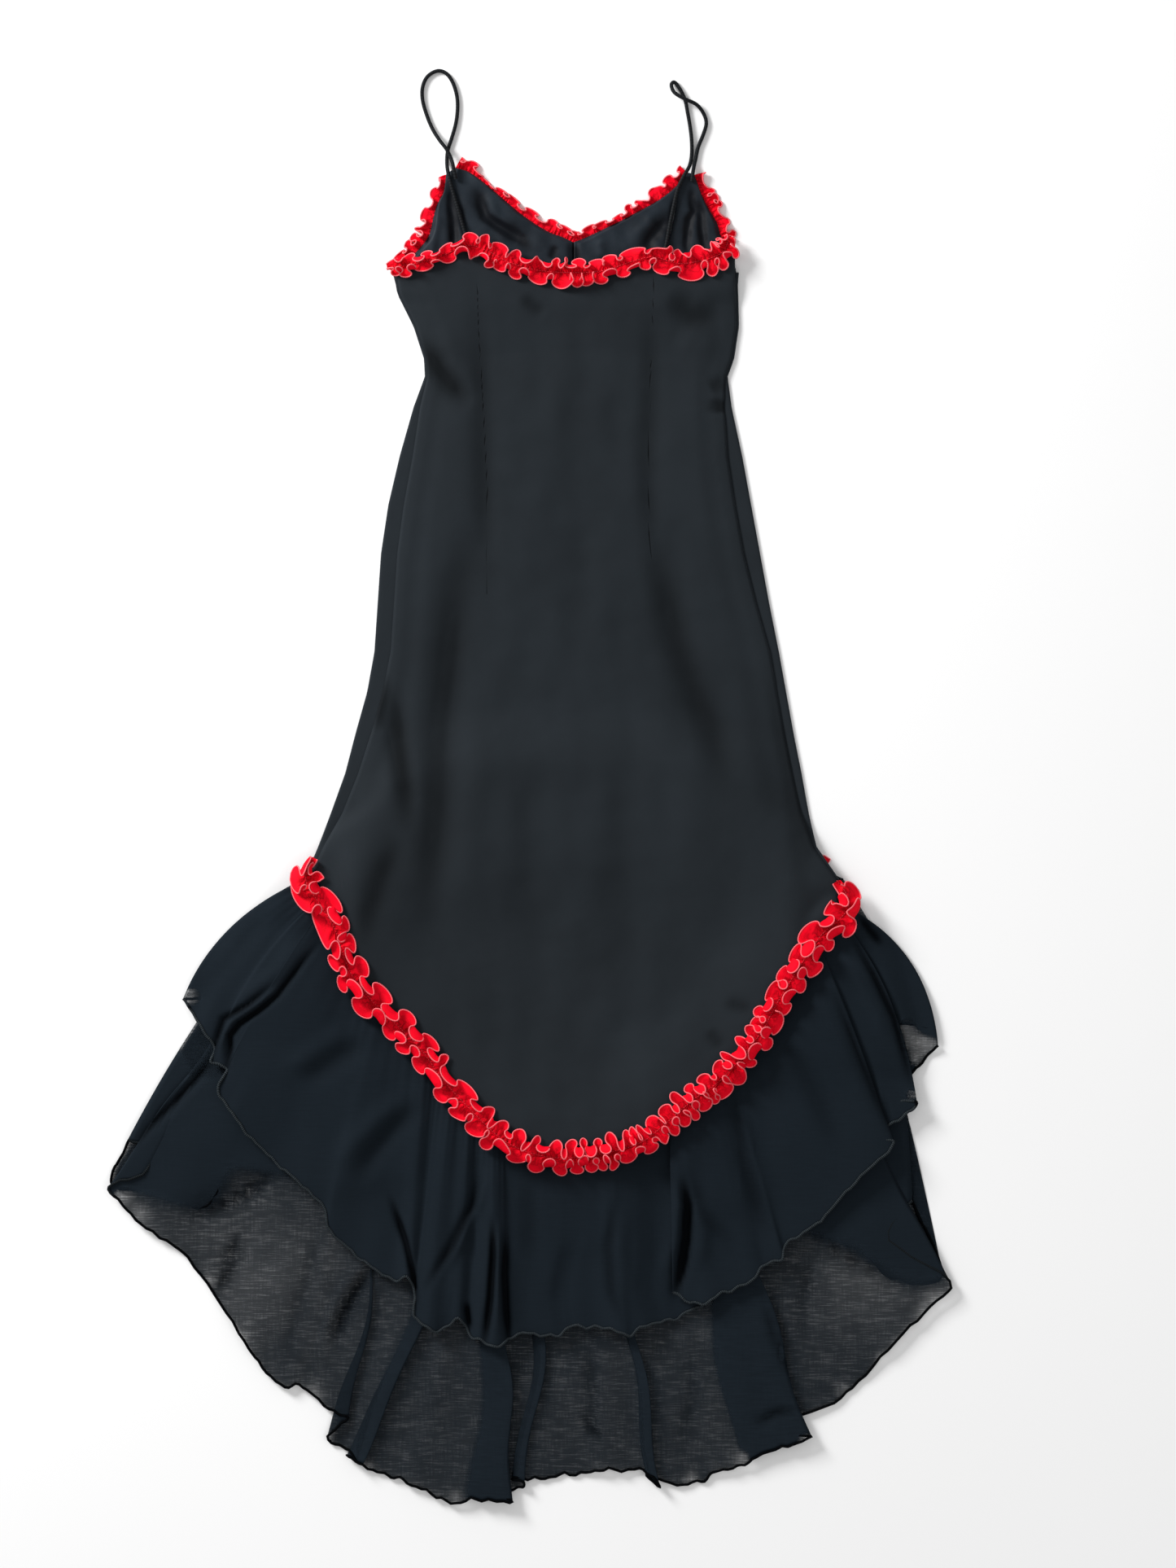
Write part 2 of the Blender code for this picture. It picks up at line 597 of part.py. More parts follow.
def flounce(name, turns, bow, seam_of, pile, reach, material, collection):
    """Lay a flounce from its seam to its hem, folded as its table of turns says."""
    table = with_middles(np.array(turns, float))
    folds = folds_in(table)
    pleated = folds | np.roll(folds, 1) | np.roll(folds, -1)
    share = np.array(FLOUNCE_DOWN)[:, None]
    seam_across = table[:, 0]
    seam_at = seam_of(seam_across) - TUCK_UNDER_SEAM
    across = seam_across + (table[:, 1] - seam_across) * share
    down = seam_at + (table[:, 2] - seam_at) * share
    belly = 4 * share * (1 - share)
    along = np.linspace(0, 1, len(table))
    left_pull = ease(1 - along / bow.left_reach) * bow.left
    right_pull = ease(1 - (1 - along) / bow.right_reach) * bow.right
    across = across + belly * (right_pull - left_pull) * BOW_SIDEWAYS
    down = down - belly * (right_pull + left_pull) * BOW_UPWARDS
    flat_part = 1 - np.where(pleated, PLEAT_AT_SEAM, 0.0)
    lift = table[:, 3] * MILLIMETRE * (1 - flat_part * (1 - ease(share / FOLD_FULL_AT)))
    height = laid_height(pile, across, down, CHIFFON, reach) + lift
    piece = folded_wall(name, grid_points(across, down, height), CHIFFON, material, collection)
    pile.add(piece)
    return piece


def front_rows(armhole, neck, side, end_outer, end_inner, rows):
    """Return the ends of each row of half a front: on its outer edge and on its neck or centre."""
    outer = [tuple(place) for place in armhole]
    inner = [tuple(place) for place in neck]
    for row in range(1, rows + 1):
        part = row / rows
        down = armhole[-1].down + (end_outer - armhole[-1].down) * part
        outer.append((float(column_of(SECTIONS, side, down)), down))
        inner.append((CENTRE_FRONT, neck[-1].down + (end_inner - neck[-1].down) * part))
    return np.array(outer), np.array(inner)


def half_front_grid(outer, inner, first_low_row, mirrored):
    """Fill half a front with places from its outer edge to its inner one."""
    part = np.linspace(0.0, 1.0, FRONT_COLUMNS + 1)
    row_share = np.clip((np.arange(len(outer)) - first_low_row) / (len(outer) - first_low_row), 0, 1)
    bend = part * (2 - part) - part
    across = outer[:, :1] + (inner[:, :1] - outer[:, :1]) * part
    down_part = part + row_share[:, None] * bend
    down = outer[:, 1:] + (inner[:, 1:] - outer[:, 1:]) * down_part
    if mirrored:
        return across[:, ::-1], down[:, ::-1]
    return across, down


def front_panel(pile, material, collection):
    """Lay the whole front, which turns round both sides to the side seams on top."""
    turn = SIDE_TURN / STEP
    grids = []
    for side, armhole, neck in (
        ("left", LEFT_ARMHOLE, LEFT_NECK), ("right", RIGHT_ARMHOLE, RIGHT_NECK),
    ):
        inward = 1 if side == "left" else -1
        outer, inner = front_rows(
            armhole, neck, side, SIDE_SEAM_END, FRONT_SEAM_AT_CENTRE, FRONT_ROWS)
        first = len(armhole) - 1
        edge = outer.copy()
        edge[first:, 0] += inward * turn
        across, down = half_front_grid(edge, inner, first, mirrored=side == "right")
        height = laid_height(pile, across, down, CREPE, WIDE)
        grids.append(grid_points(across, down, height))
        low_edge = 0 if side == "left" else -1
        base = height[first:, low_edge]
        side_down = outer[first:, 1]
        seam = column_of(SECTIONS, f"seam_{side}", side_down)
        wide = np.abs(seam - outer[first:, 0]) > LEAST_FLAP
        flap_end = np.where(
            wide, seam + inward * FLAP_UNDER_SEAM, outer[first:, 0] + inward * NARROW_FLAP)
        columns = [
            (flap_end, base + SIDE_TURN),
            (edge[first:, 0], base + SIDE_TURN),
            (outer[first:, 0], base + SIDE_TURN / 2),
            (edge[first:, 0], base),
        ]
        if side == "right":
            columns.reverse()
        flap_across = np.stack([column[0] for column in columns], axis=1)
        flap_height = np.stack([column[1] for column in columns], axis=1)
        flap_down = np.repeat(side_down[:, None], len(columns), axis=1)
        grids.append(grid_points(flap_across, flap_down, flap_height))
    piece = wall("front_panel", grids, CREPE, material, collection)
    pile.add(piece)
    return piece


def lining(side, armhole, neck, pile, material, collection):
    """Lay half of the front's lining, which shows above the back neckline."""
    outer, inner = front_rows(
        armhole, neck, side, LINING_END, LINING_END_AT_CENTRE, LINING_ROWS)
    inward = 1 if side == "left" else -1
    outer[len(armhole) - 1:, 0] += inward * LINING_SIDE_CLEAR
    inner[len(neck) - 1:, 0] -= inward * LINING_CENTRE_CLEAR
    across, down = half_front_grid(outer, inner, len(armhole) - 1, mirrored=side == "right")
    fullness = LINING_FULLNESS - trough(across, down, LINING_CREASES)
    height = laid_height(pile, across, down, CREPE, NEAR) + np.clip(fullness, 0, None)
    piece = wall(f"lining_{side}", [grid_points(across, down, height)], CREPE, material, collection)
    pile.add(piece)
    return piece


def back_panel(pile, material, collection):
    """Lay the back of the dress, from its neckline to the hem seam, over everything under it."""
    part = np.linspace(0.0, 1.0, BODY_COLUMNS + 1)
    share = np.linspace(0.0, 1.0, BODY_ROWS + 1)[:, None]
    low_left = SECTIONS[-1].seam_left
    low_right = SECTIONS[-1].seam_right
    foot = seam_down(low_left + (low_right - low_left) * part)
    top_left = SECTIONS[0].seam_left
    top_right = SECTIONS[0].seam_right
    head = neck_down(top_left + (top_right - top_left) * part)
    down = head + (foot - head) * share
    left = column_of(SECTIONS, "seam_left", down)
    right = column_of(SECTIONS, "seam_right", down)
    across = left + (right - left) * part
    puff = SIDE_PUFF + (BODY_PUFF - SIDE_PUFF) * np.sqrt(np.sin(math.pi * np.clip(part, 0, 1)))
    rise = np.clip(puff - trough(across, down, CREASES), 0, None)
    height = laid_height(pile, across, down, CREPE, WIDE) + rise
    piece = wall("back_panel", [grid_points(across, down, height)], CREPE, material, collection)
    pile.add(piece)
    return piece


def strap(name, stops, pile, material, collection):
    """Lay a thin tubular strap along its stops."""
    route = smooth(stops, 2)
    x, y = metres(route[:, 0], route[:, 1])
    under = pile.rest(x, y, CLOSE)
    z = under + GAP + STRAP_RADIUS + route[:, 2] * MILLIMETRE
    curve = bpy.data.curves.new(name, "CURVE")
    curve.dimensions = "3D"
    curve.bevel_depth = STRAP_RADIUS
    curve.bevel_resolution = 2
    curve.use_fill_caps = True
    spline = curve.splines.new("POLY")
    spline.points.add(len(route) - 1)
    for point, place in zip(spline.points, zip(x, y, z)):
        point.co = (*place, 1.0)
    curve.materials.append(material)
    piece = bpy.data.objects.new(name, curve)
    collection.objects.link(piece)
    bpy.context.view_layer.update()
    pile.add(piece)
    return piece


def shortened(route):
    """Return a route that starts and ends a little inside its ends, clear of the next strip."""
    line = smooth(route, 4)
    along = np.concatenate([[0.0], np.cumsum(np.hypot(*np.diff(line, axis=0).T))])
    at = np.linspace(EDGE_END_CLEAR, along[-1] - EDGE_END_CLEAR, len(route))
    return np.stack([np.interp(at, along, line[:, k]) for k in (0, 1)], axis=-1)


def front_seam_down(across):
    """Return how far down the front's hem seam lies, which rises to the centre front."""
    half = np.where(across < CENTRE_FRONT, across - SECTIONS[-1].left, SECTIONS[-1].right - across)
    width = np.where(across < CENTRE_FRONT, CENTRE_FRONT - SECTIONS[-1].left,
                     SECTIONS[-1].right - CENTRE_FRONT)
    part = np.clip(half / width, 0.0, 1.0)
    return SIDE_SEAM_END + (FRONT_SEAM_AT_CENTRE - SIDE_SEAM_END) * part * (2 - part)


def front_seam_route():
    """Return the route of the front's hem ruffle, from the left side to the right one."""
    across = np.linspace(
        SECTIONS[-1].left + FRONT_RUFFLE_END_CLEAR,
        SECTIONS[-1].right - FRONT_RUFFLE_END_CLEAR, FRONT_RUFFLE_STOPS)
    return np.stack([across, front_seam_down(across)], axis=-1)


def main():
    """Lay the dress down, piece by piece, from the floor up."""
    for thing in list(bpy.data.objects):
        bpy.data.objects.remove(thing)
    collection = bpy.data.collections.new("high_low_dress")
    bpy.context.scene.collection.children.link(collection)
    crepe = finish("black_crepe", CREPE_BLACK)
    satin = finish("navy_lining", LINING_NAVY)
    sheer = finish("sheer_chiffon", SHEER_BLACK)
    red = finish("red_ruffle", RUFFLE_RED)
    cord = finish("black_strap", STRAP_BLACK)
    pile = Pile()

    for edge in EDGES:
        pile.raise_strip(edge.route, EDGE_TUCK + 2 * Pile.CELL, CHIFFON)
    ruffle("hem_ruffle_front", front_seam_route(), FRONT_RUFFLE_WAVES, HEM_RUFFLE_HALF, 0.0, 13,
           pile, red, collection)
    flounce("upper_flounce_front", UPPER_FRONT_TURNS, FRONT_BOW, front_seam_down, pile, WIDE,
            sheer, collection)
    flounce("lower_flounce_front", LOWER_FRONT_TURNS, FRONT_BOW, front_seam_down, pile, WIDEST,
            sheer, collection)
    front_panel(pile, crepe, collection)
    lining("left", LEFT_ARMHOLE, LEFT_NECK, pile, satin, collection)
    lining("right", RIGHT_ARMHOLE, RIGHT_NECK, pile, satin, collection)
    for edge in EDGES:
        edge_ruffle(edge, pile, red, collection)
    flounce("lower_flounce_back", LOWER_BACK_TURNS, LOWER_BACK_BOW, seam_down, pile, WIDEST,
            sheer, collection)
    flounce("upper_flounce_back", UPPER_BACK_TURNS, UPPER_BACK_BOW, seam_down, pile, WIDER,
            sheer, collection)
    back_panel(pile, crepe, collection)
    strap("strap_left", LEFT_STRAP, pile, cord, collection)
    strap("strap_right", RIGHT_STRAP, pile, cord, collection)
    ruffle("neck_ruffle_back", BACK_NECK, NECK_RUFFLE_WAVES, NECK_RUFFLE_HALF, NECK_RUFFLE_RISE,
           17, pile, red, collection)
    hem_route = HEM_RUFFLE_LEFT_END + HEM_SEAM[1:-1] + HEM_RUFFLE_RIGHT_END
    ruffle("hem_ruffle_back", hem_route, HEM_RUFFLE_WAVES, HEM_RUFFLE_HALF, HEM_RUFFLE_RISE,
           19, pile, red, collection)


if __name__ == "__main__":
    main()
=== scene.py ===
"""Visual model of a high-low slip dress with ruffle trim, laid flat on its front.

The pieces of cloth are laid down one after the other, from the floor up, and each one rests on
what already lies there. Places come from tables on a square grid over the laid dress, in steps
across from its left and down from its top; the step is a real size. Metres, +Z up.
"""

import enum
import logging
import math
from collections.abc import Callable, Mapping, Sequence
from dataclasses import dataclass, field
from typing import NamedTuple, TypeVar, Union

import bpy
import numpy as np
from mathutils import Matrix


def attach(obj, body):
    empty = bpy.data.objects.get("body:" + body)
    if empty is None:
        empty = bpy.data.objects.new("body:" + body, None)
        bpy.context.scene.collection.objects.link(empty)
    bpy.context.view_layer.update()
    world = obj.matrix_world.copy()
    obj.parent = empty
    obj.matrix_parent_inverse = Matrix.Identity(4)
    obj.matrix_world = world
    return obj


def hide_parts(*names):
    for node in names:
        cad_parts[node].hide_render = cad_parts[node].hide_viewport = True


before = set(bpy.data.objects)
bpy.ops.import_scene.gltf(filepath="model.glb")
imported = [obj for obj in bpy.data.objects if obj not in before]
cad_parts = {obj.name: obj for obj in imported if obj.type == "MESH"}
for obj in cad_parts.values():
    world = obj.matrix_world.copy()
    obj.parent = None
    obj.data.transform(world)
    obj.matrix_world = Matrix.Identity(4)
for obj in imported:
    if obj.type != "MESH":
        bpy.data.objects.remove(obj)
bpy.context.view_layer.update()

LOG = logging.getLogger("dress")
Array = np.ndarray
Grids = tuple[np.ndarray, np.ndarray]
Piece = bpy.types.Object
Material = bpy.types.Material
Node = bpy.types.Node
Socket = bpy.types.NodeSocket
Row = TypeVar("Row")

# Driving sizes, in metres
DRESS_LENGTH = 1.676
CREPE = 0.0006
CHIFFON = 0.0004
RUFFLE_CLOTH = 0.0005
GAP = 0.0003
STRAP_RADIUS = 0.0022
ROLLED_HEM_RADIUS = 0.0016
HEM_RAISE = 0.0008
OVERLOCK_RADIUS = 0.00085
STITCH_PITCH = 0.0034
STITCH = (0.0014, 0.00045, 0.0004)
SIDE_TURN = 0.0028
BODY_PUFF = 0.0065
SIDE_PUFF = 0.0006
LINING_FULLNESS = 0.0046
MILLIMETRE = 0.001

# The square grid that the tables use
GRID_TOP = 84
GRID_HEM = 1848
STEP = DRESS_LENGTH / (GRID_HEM - GRID_TOP)
MIDDLE_ACROSS = 650.5
MIDDLE_DOWN = 964.9


class Section(NamedTuple):
    """Outline of the body at one height, and the side seams that show on top of it."""

    down: float
    left: float
    right: float
    seam_left: float
    seam_right: float


class Place(NamedTuple):
    """A place on the laid dress."""

    across: float
    down: float


class Turn(NamedTuple):
    """A turn of a flounce: its column on the seam, its place on the hem, its lift in mm."""

    seam: float
    across: float
    down: float
    lift: float


class Crease(NamedTuple):
    """A soft trough along a path, or a ridge where its depth is below nothing."""

    depth: float
    width: float
    path: tuple[Place, ...]


class Spot(NamedTuple):
    """A round place on the laid dress."""

    across: float
    down: float
    radius: float


class Stop(NamedTuple):
    """A place on a strap's route, with its lift in mm."""

    across: float
    down: float
    lift: float


class Bow(NamedTuple):
    """How far a flounce's two sides are drawn in between seam and hem, and over what share."""

    left: float
    left_reach: float
    right: float
    right_reach: float


class Side(enum.Enum):
    """Side of the laid dress; the value is the direction towards its middle."""

    LEFT = 1
    RIGHT = -1


class Hold(enum.Enum):
    """How a sheet of cloth is held."""

    LAID = "laid"
    GATHERED = "gathered"


def rows(kind: type[Row], *given: tuple) -> tuple[Row, ...]:
    """Return the given numbers as rows of a kind."""
    return tuple(kind(*numbers) for numbers in given)


def places(*pairs: tuple[float, float]) -> tuple[Place, ...]:
    """Return the pairs as places."""
    return rows(Place, *pairs)


def crease_rows(*given: tuple) -> tuple[Crease, ...]:
    """Return creases, each from its depth, its width and the pairs of its path."""
    return tuple(Crease(depth, width, places(*path)) for depth, width, *path in given)


SECTIONS = rows(
    Section,
    (334, 484, 906, 487, 903), (360, 488, 907, 491, 904), (400, 508, 908, 511, 905),
    (440, 521, 902, 524, 899), (462, 522, 894, 525, 891), (500, 508, 899, 516, 890),
    (560, 491, 912, 507, 894), (620, 477, 923, 496, 903), (680, 468, 934, 488, 914),
    (740, 464, 945, 484, 929), (800, 460, 957, 480, 946), (850, 451, 966, 470, 955),
    (900, 437, 975, 456, 964), (950, 424, 985, 440, 974), (1000, 406, 994, 420, 985),
    (1040, 391, 1003, 398, 998), (1085, 374, 1034, 377, 1031)
)
ARMHOLES = {
    Side.LEFT: places(
        (548, 213), (545, 235), (537, 250), (532, 268), (526, 290), (510, 310), (484, 334)),
    Side.RIGHT: places(
        (853, 213), (862, 238), (871, 256), (881, 273), (886, 290), (893, 303), (906, 334)),
}
NECKS = {
    Side.LEFT: places(
        (559, 205), (577, 211), (600, 228), (640, 262), (672, 283), (690, 290), (705, 297)),
    Side.RIGHT: places(
        (846, 211), (833, 226), (811, 244), (775, 264), (745, 279), (722, 290), (705, 297)),
}
CENTRE_FRONT = 705
FRONT_SEAM_AT_CENTRE = 985
SIDE_SEAM_END = 1085
LINING_END = 352
LINING_END_AT_CENTRE = 340

BACK_NECK = places(
    (476, 330), (520, 323), (545, 315), (575, 303), (600, 310), (625, 323), (660, 333),
    (700, 336), (740, 334), (775, 323), (802, 317), (834, 325), (870, 319), (902, 303))
NECK_RUFFLE_END = places((889, 309), (896, 290))
HEM_SEAM = places(
    (374, 1085), (395, 1110), (412, 1138), (421, 1165), (434, 1197), (460, 1230), (493, 1262),
    (520, 1290), (545, 1325), (580, 1362), (615, 1395), (650, 1413), (690, 1420), (740, 1415),
    (785, 1402), (815, 1380), (850, 1350), (885, 1325), (912, 1295), (935, 1265), (951, 1235),
    (969, 1205), (985, 1180), (1008, 1148), (1036, 1118))
HEM_RUFFLE_LEFT_END = places((386, 1053), (379, 1066), (379, 1086))
HEM_RUFFLE_RIGHT_END = places((1029, 1130), (1042, 1113), (1038, 1096), (1028, 1082))

DARTS = {
    Side.LEFT: places((587, 340), (589, 415), (594, 497), (599, 601), (597, 698), (599, 743)),
    Side.RIGHT: places((804, 340), (800, 452), (797, 564), (798, 657), (803, 717)),
}
BODY_CREASES = crease_rows(
    (0.0026, 14, (587, 345), (594, 497), (599, 740)),
    (0.0026, 14, (804, 345), (797, 564), (803, 715)),
    (0.005, 13, (515, 415), (541, 456), (567, 486), (578, 504)),
    (-0.0022, 15, (530, 405), (565, 450), (590, 480)),
    (0.004, 12, (462, 818), (468, 860), (463, 904)),
    (0.0048, 13, (482, 832), (490, 918), (499, 976), (504, 1029)),
    (0.0036, 14, (490, 1024), (456, 1120), (446, 1168)),
    (0.0056, 20, (595, 620), (578, 676), (563, 721), (552, 825), (541, 900), (537, 1000),
     (528, 1096), (523, 1192)),
    (-0.002, 22, (600, 780), (590, 900), (580, 1020), (572, 1150)),
    (0.0054, 20, (802, 624), (817, 713), (836, 799), (873, 893), (902, 1000)),
    (-0.0018, 24, (790, 780), (820, 900), (850, 1010), (862, 1120)),
    (0.0038, 14, (950, 832), (979, 952), (989, 1048), (985, 1100)),
    (0.0046, 17, (821, 362), (851, 388), (888, 385)),
    (-0.0024, 18, (830, 410), (862, 425), (890, 430)),
    (0.0042, 10, (886, 488), (885, 510)),
    (0.0024, 10, (893, 469), (872, 478)),
    (0.0022, 9, (642, 362), (655, 376), (671, 388)),
    (0.0018, 8, (888, 1230), (926, 1240)),
    (0.0018, 8, (869, 1264), (888, 1288)),
    (0.0016, 30, (705, 420), (700, 620), (704, 800)),
    (0.002, 26, (640, 900), (655, 1060), (662, 1250)),
    (0.002, 26, (752, 880), (762, 1050), (754, 1240))
)
LINING_CREASES = crease_rows(
    (0.004, 5.5, (553, 225), (554, 248), (557, 271), (559, 320)),
    (0.0016, 4, (558, 241), (565, 259), (568, 276), (573, 300)),
    (0.0042, 7, (579, 228), (590, 243), (596, 265), (608, 274), (625, 284), (640, 293), (656, 312)),
    (-0.0022, 7, (596, 234), (613, 265), (640, 282)),
    (0.002, 4, (704, 300), (708, 310), (711, 325)),
    (0.0018, 5, (683, 300), (677, 320)),
    (0.0038, 8, (819, 258), (815, 273), (801, 291), (788, 312)),
    (-0.002, 7, (806, 256), (796, 276), (778, 294)),
    (0.0018, 4, (831, 232), (828, 250), (823, 276), (818, 305)),
    (0.0036, 5, (849, 227), (850, 243), (853, 259), (847, 270), (844, 297), (843, 320)),
    (0.0034, 5, (856, 240), (861, 259), (863, 286), (867, 315)),
    (-0.0016, 5, (540, 262), (534, 290), (530, 320)),
    (-0.0018, 6, (737, 292), (741, 318))
)
FLOUNCE_CREASES = crease_rows(
    (0.005, 4, (404, 1142), (393, 1158), (374, 1179), (341, 1222), (318, 1241), (294, 1257),
     (283, 1271), (284, 1287), (280, 1309), (266, 1345)),
    (-0.005, 5, (345, 1212), (318, 1232), (285, 1255), (273, 1280), (271, 1306)),
    (0.004, 4, (340, 1206), (305, 1234), (275, 1252), (266, 1281), (262, 1310)),
    (-0.003, 10, (380, 1140), (344, 1190), (285, 1240)),
    (0.0042, 13, (451, 1277), (405, 1308), (367, 1332)),
    (-0.003, 13, (430, 1262), (385, 1292), (345, 1318)),
    (0.0045, 12, (524, 1350), (488, 1383), (458, 1416), (433, 1460)),
    (-0.0035, 13, (505, 1340), (468, 1370), (438, 1400), (410, 1440)),
    (0.006, 4, (478, 1465), (499, 1525), (507, 1560), (514, 1610)),
    (-0.0045, 8, (600, 1430), (588, 1475), (568, 1520), (536, 1570)),
    (0.005, 6, (592, 1432), (580, 1480), (555, 1530), (522, 1585)),
    (0.007, 4.2, (606, 1492), (606, 1540), (603, 1590), (595, 1660)),
    (-0.0045, 5, (614, 1500), (613, 1560), (612, 1640)),
    (0.0065, 4.2, (622, 1505), (620, 1564), (622, 1610), (626, 1660)),
    (0.005, 4, (572, 1596), (578, 1634)),
    (0.0022, 12, (650, 1440), (655, 1500), (652, 1560)),
    (0.0014, 11, (704, 1520), (692, 1560), (680, 1610)),
    (0.0032, 7, (757, 1468), (748, 1531), (752, 1590), (768, 1630)),
    (-0.0018, 10, (772, 1460), (766, 1530), (774, 1600)),
    (0.011, 6, (838, 1440), (845, 1480), (843, 1520), (837, 1560), (828, 1600)),
    (-0.005, 8, (828, 1440), (832, 1480), (828, 1530), (818, 1570)),
    (-0.0032, 10, (856, 1470), (864, 1510), (859, 1560)),
    (0.0026, 9, (846, 1430), (866, 1490), (910, 1540)),
    (0.0042, 9, (899, 1330), (906, 1380), (915, 1425), (932, 1480), (948, 1530)),
    (-0.0026, 12, (915, 1345), (928, 1419), (950, 1490)),
    (0.0034, 12, (955, 1265), (1000, 1340), (1035, 1420)),
    (-0.003, 12, (985, 1215), (1030, 1280), (1070, 1365)),
    (0.004, 5, (1022, 1210), (1052, 1290), (1078, 1350), (1104, 1410)),
    (0.005, 4.6, (1040, 1140), (1072, 1196), (1098, 1250), (1112, 1300), (1124, 1345)),
    (-0.0035, 8, (1034, 1170), (1056, 1208), (1078, 1245), (1092, 1285)),
    (0.005, 5, (1052, 1122), (1068, 1142), (1086, 1163))
)
LOW_FLOUNCE_CREASES = crease_rows(
    (0.005, 4, (295, 1270), (234, 1331), (213, 1354), (190, 1378), (156, 1420)),
    (0.004, 4.5, (1000, 1509), (1019, 1532), (1056, 1555), (1084, 1572)),
    (0.0026, 12, (1026, 1530), (1076, 1568), (1105, 1602)),
    (0.008, 8, (228, 1502), (262, 1484), (300, 1464), (345, 1440)),
    (0.0044, 16, (224, 1500), (270, 1478), (337, 1442)),
    (0.0074, 7.5, (296, 1510), (283, 1545), (264, 1596)),
    (0.003, 8, (392, 1500), (378, 1560), (360, 1620), (348, 1680)),
    (0.007, 8, (462, 1550), (434, 1590), (417, 1625), (409, 1660)),
    (-0.004, 7, (446, 1552), (418, 1592), (401, 1632), (392, 1680)),
    (0.0036, 6, (925, 1752), (956, 1735), (984, 1734)),
    (0.0036, 4.5, (940, 1598), (954, 1650), (978, 1702)),
    (0.0026, 7, (1001, 1530), (985, 1600), (988, 1660)),
    (0.003, 8, (722, 1650), (728, 1720), (724, 1780)),
    (0.004, 6, (742, 1770), (728, 1758), (716, 1738)),
    (0.0024, 8, (845, 1650), (850, 1720), (838, 1790))
)

# Where the chiffon's hem lifts off the floor and light would come in under it: painted light, by
# making the cloth more see-through there
LIT_UNDER = rows(
    Spot,
    (1148, 1594, 13), (1132, 1612, 10), (1084, 1670, 9), (1037, 1709, 8), (990, 1766, 7),
    (912, 1791, 8), (850, 1816, 8), (154, 1470, 11), (172, 1492, 11), (256, 1573, 9),
    (298, 1640, 10), (384, 1712, 11), (453, 1802, 6), (560, 1838, 7), (1114, 1261, 10),
    (1122, 1279, 13), (1142, 1284, 11), (1127, 1300, 10), (1119, 1345, 7), (236, 1224, 10)
)

# Where the lower tier has the least cloth behind it
AIRY = rows(Spot, (300, 1570, 95), (1075, 1565, 75))
AIRY_SHARE = 0.37

# Painted highlight: how much lighter the hem of a tier that isn't dense gets where it lies over
# other cloth
OVER_HIGHLIGHT = 0.4

# How fast a crease fades towards its ends, and what is left there
CREASE_FADE = 2.6
CREASE_END = 0.12

# Cut of the strips on the front's edges: their width, and their area for each metre
EDGE_CUT_WIDTH = 0.017
EDGE_CUT_FLAT = 0.0133

# Steepness of a crease, in metres a step, at which its painted shade is darkest
BODY_CREASE_SHADE_FULL = 0.0004
LINING_CREASE_SHADE_FULL = 0.0006

# Hem of each flounce, a row for each turn of the cloth from its left fold to its right one.
# Cloth that turns back under itself steps backwards along the seam.
UPPER_BACK_TURNS = rows(
    Turn,
    (375, 225, 1226, 0), (385, 245, 1257, 0), (393, 264, 1287, 1), (395, 260, 1303, 4),
    (403, 280, 1312, 6), (400, 269, 1337, 7), (410, 283, 1361, 7), (424, 307, 1394, 5.5),
    (438, 345, 1432, 2), (453, 395, 1478, 3), (470, 407, 1512, 5), (492, 448, 1549, 3),
    (510, 480, 1570, 4), (524, 500, 1568, 8), (536, 510, 1589, 3), (546, 509, 1613, 4),
    (556, 524, 1629, 8), (568, 545, 1631, 5), (578, 563, 1619, 7), (588, 577, 1636, 2),
    (598, 591, 1645, 7), (607, 606, 1652, 11), (616, 621, 1648, 7), (626, 632, 1638, 2),
    (656, 682, 1639, 4), (686, 706, 1629, 4), (722, 745, 1630, 5), (742, 768, 1638, 8),
    (764, 786, 1630, 4), (792, 828, 1619, 1), (832, 862, 1602, 1), (828, 845, 1594, 5),
    (822, 827, 1588, 9), (836, 862, 1600, 9), (850, 890, 1585, 6), (868, 922, 1573, 5),
    (880, 940, 1550, 3), (893, 960, 1547, 7), (905, 966, 1526, 4), (925, 1003, 1502, 5),
    (950, 1050, 1450, 9.5), (1000, 1097, 1403, 10.5), (992, 1066, 1400, 6.5),
    (1010, 1108, 1371, 5.5), (1027, 1126, 1354, 6), (1019, 1098, 1348, 2), (1031, 1130, 1308, 0.5),
    (1036, 1153, 1285, 0)
)
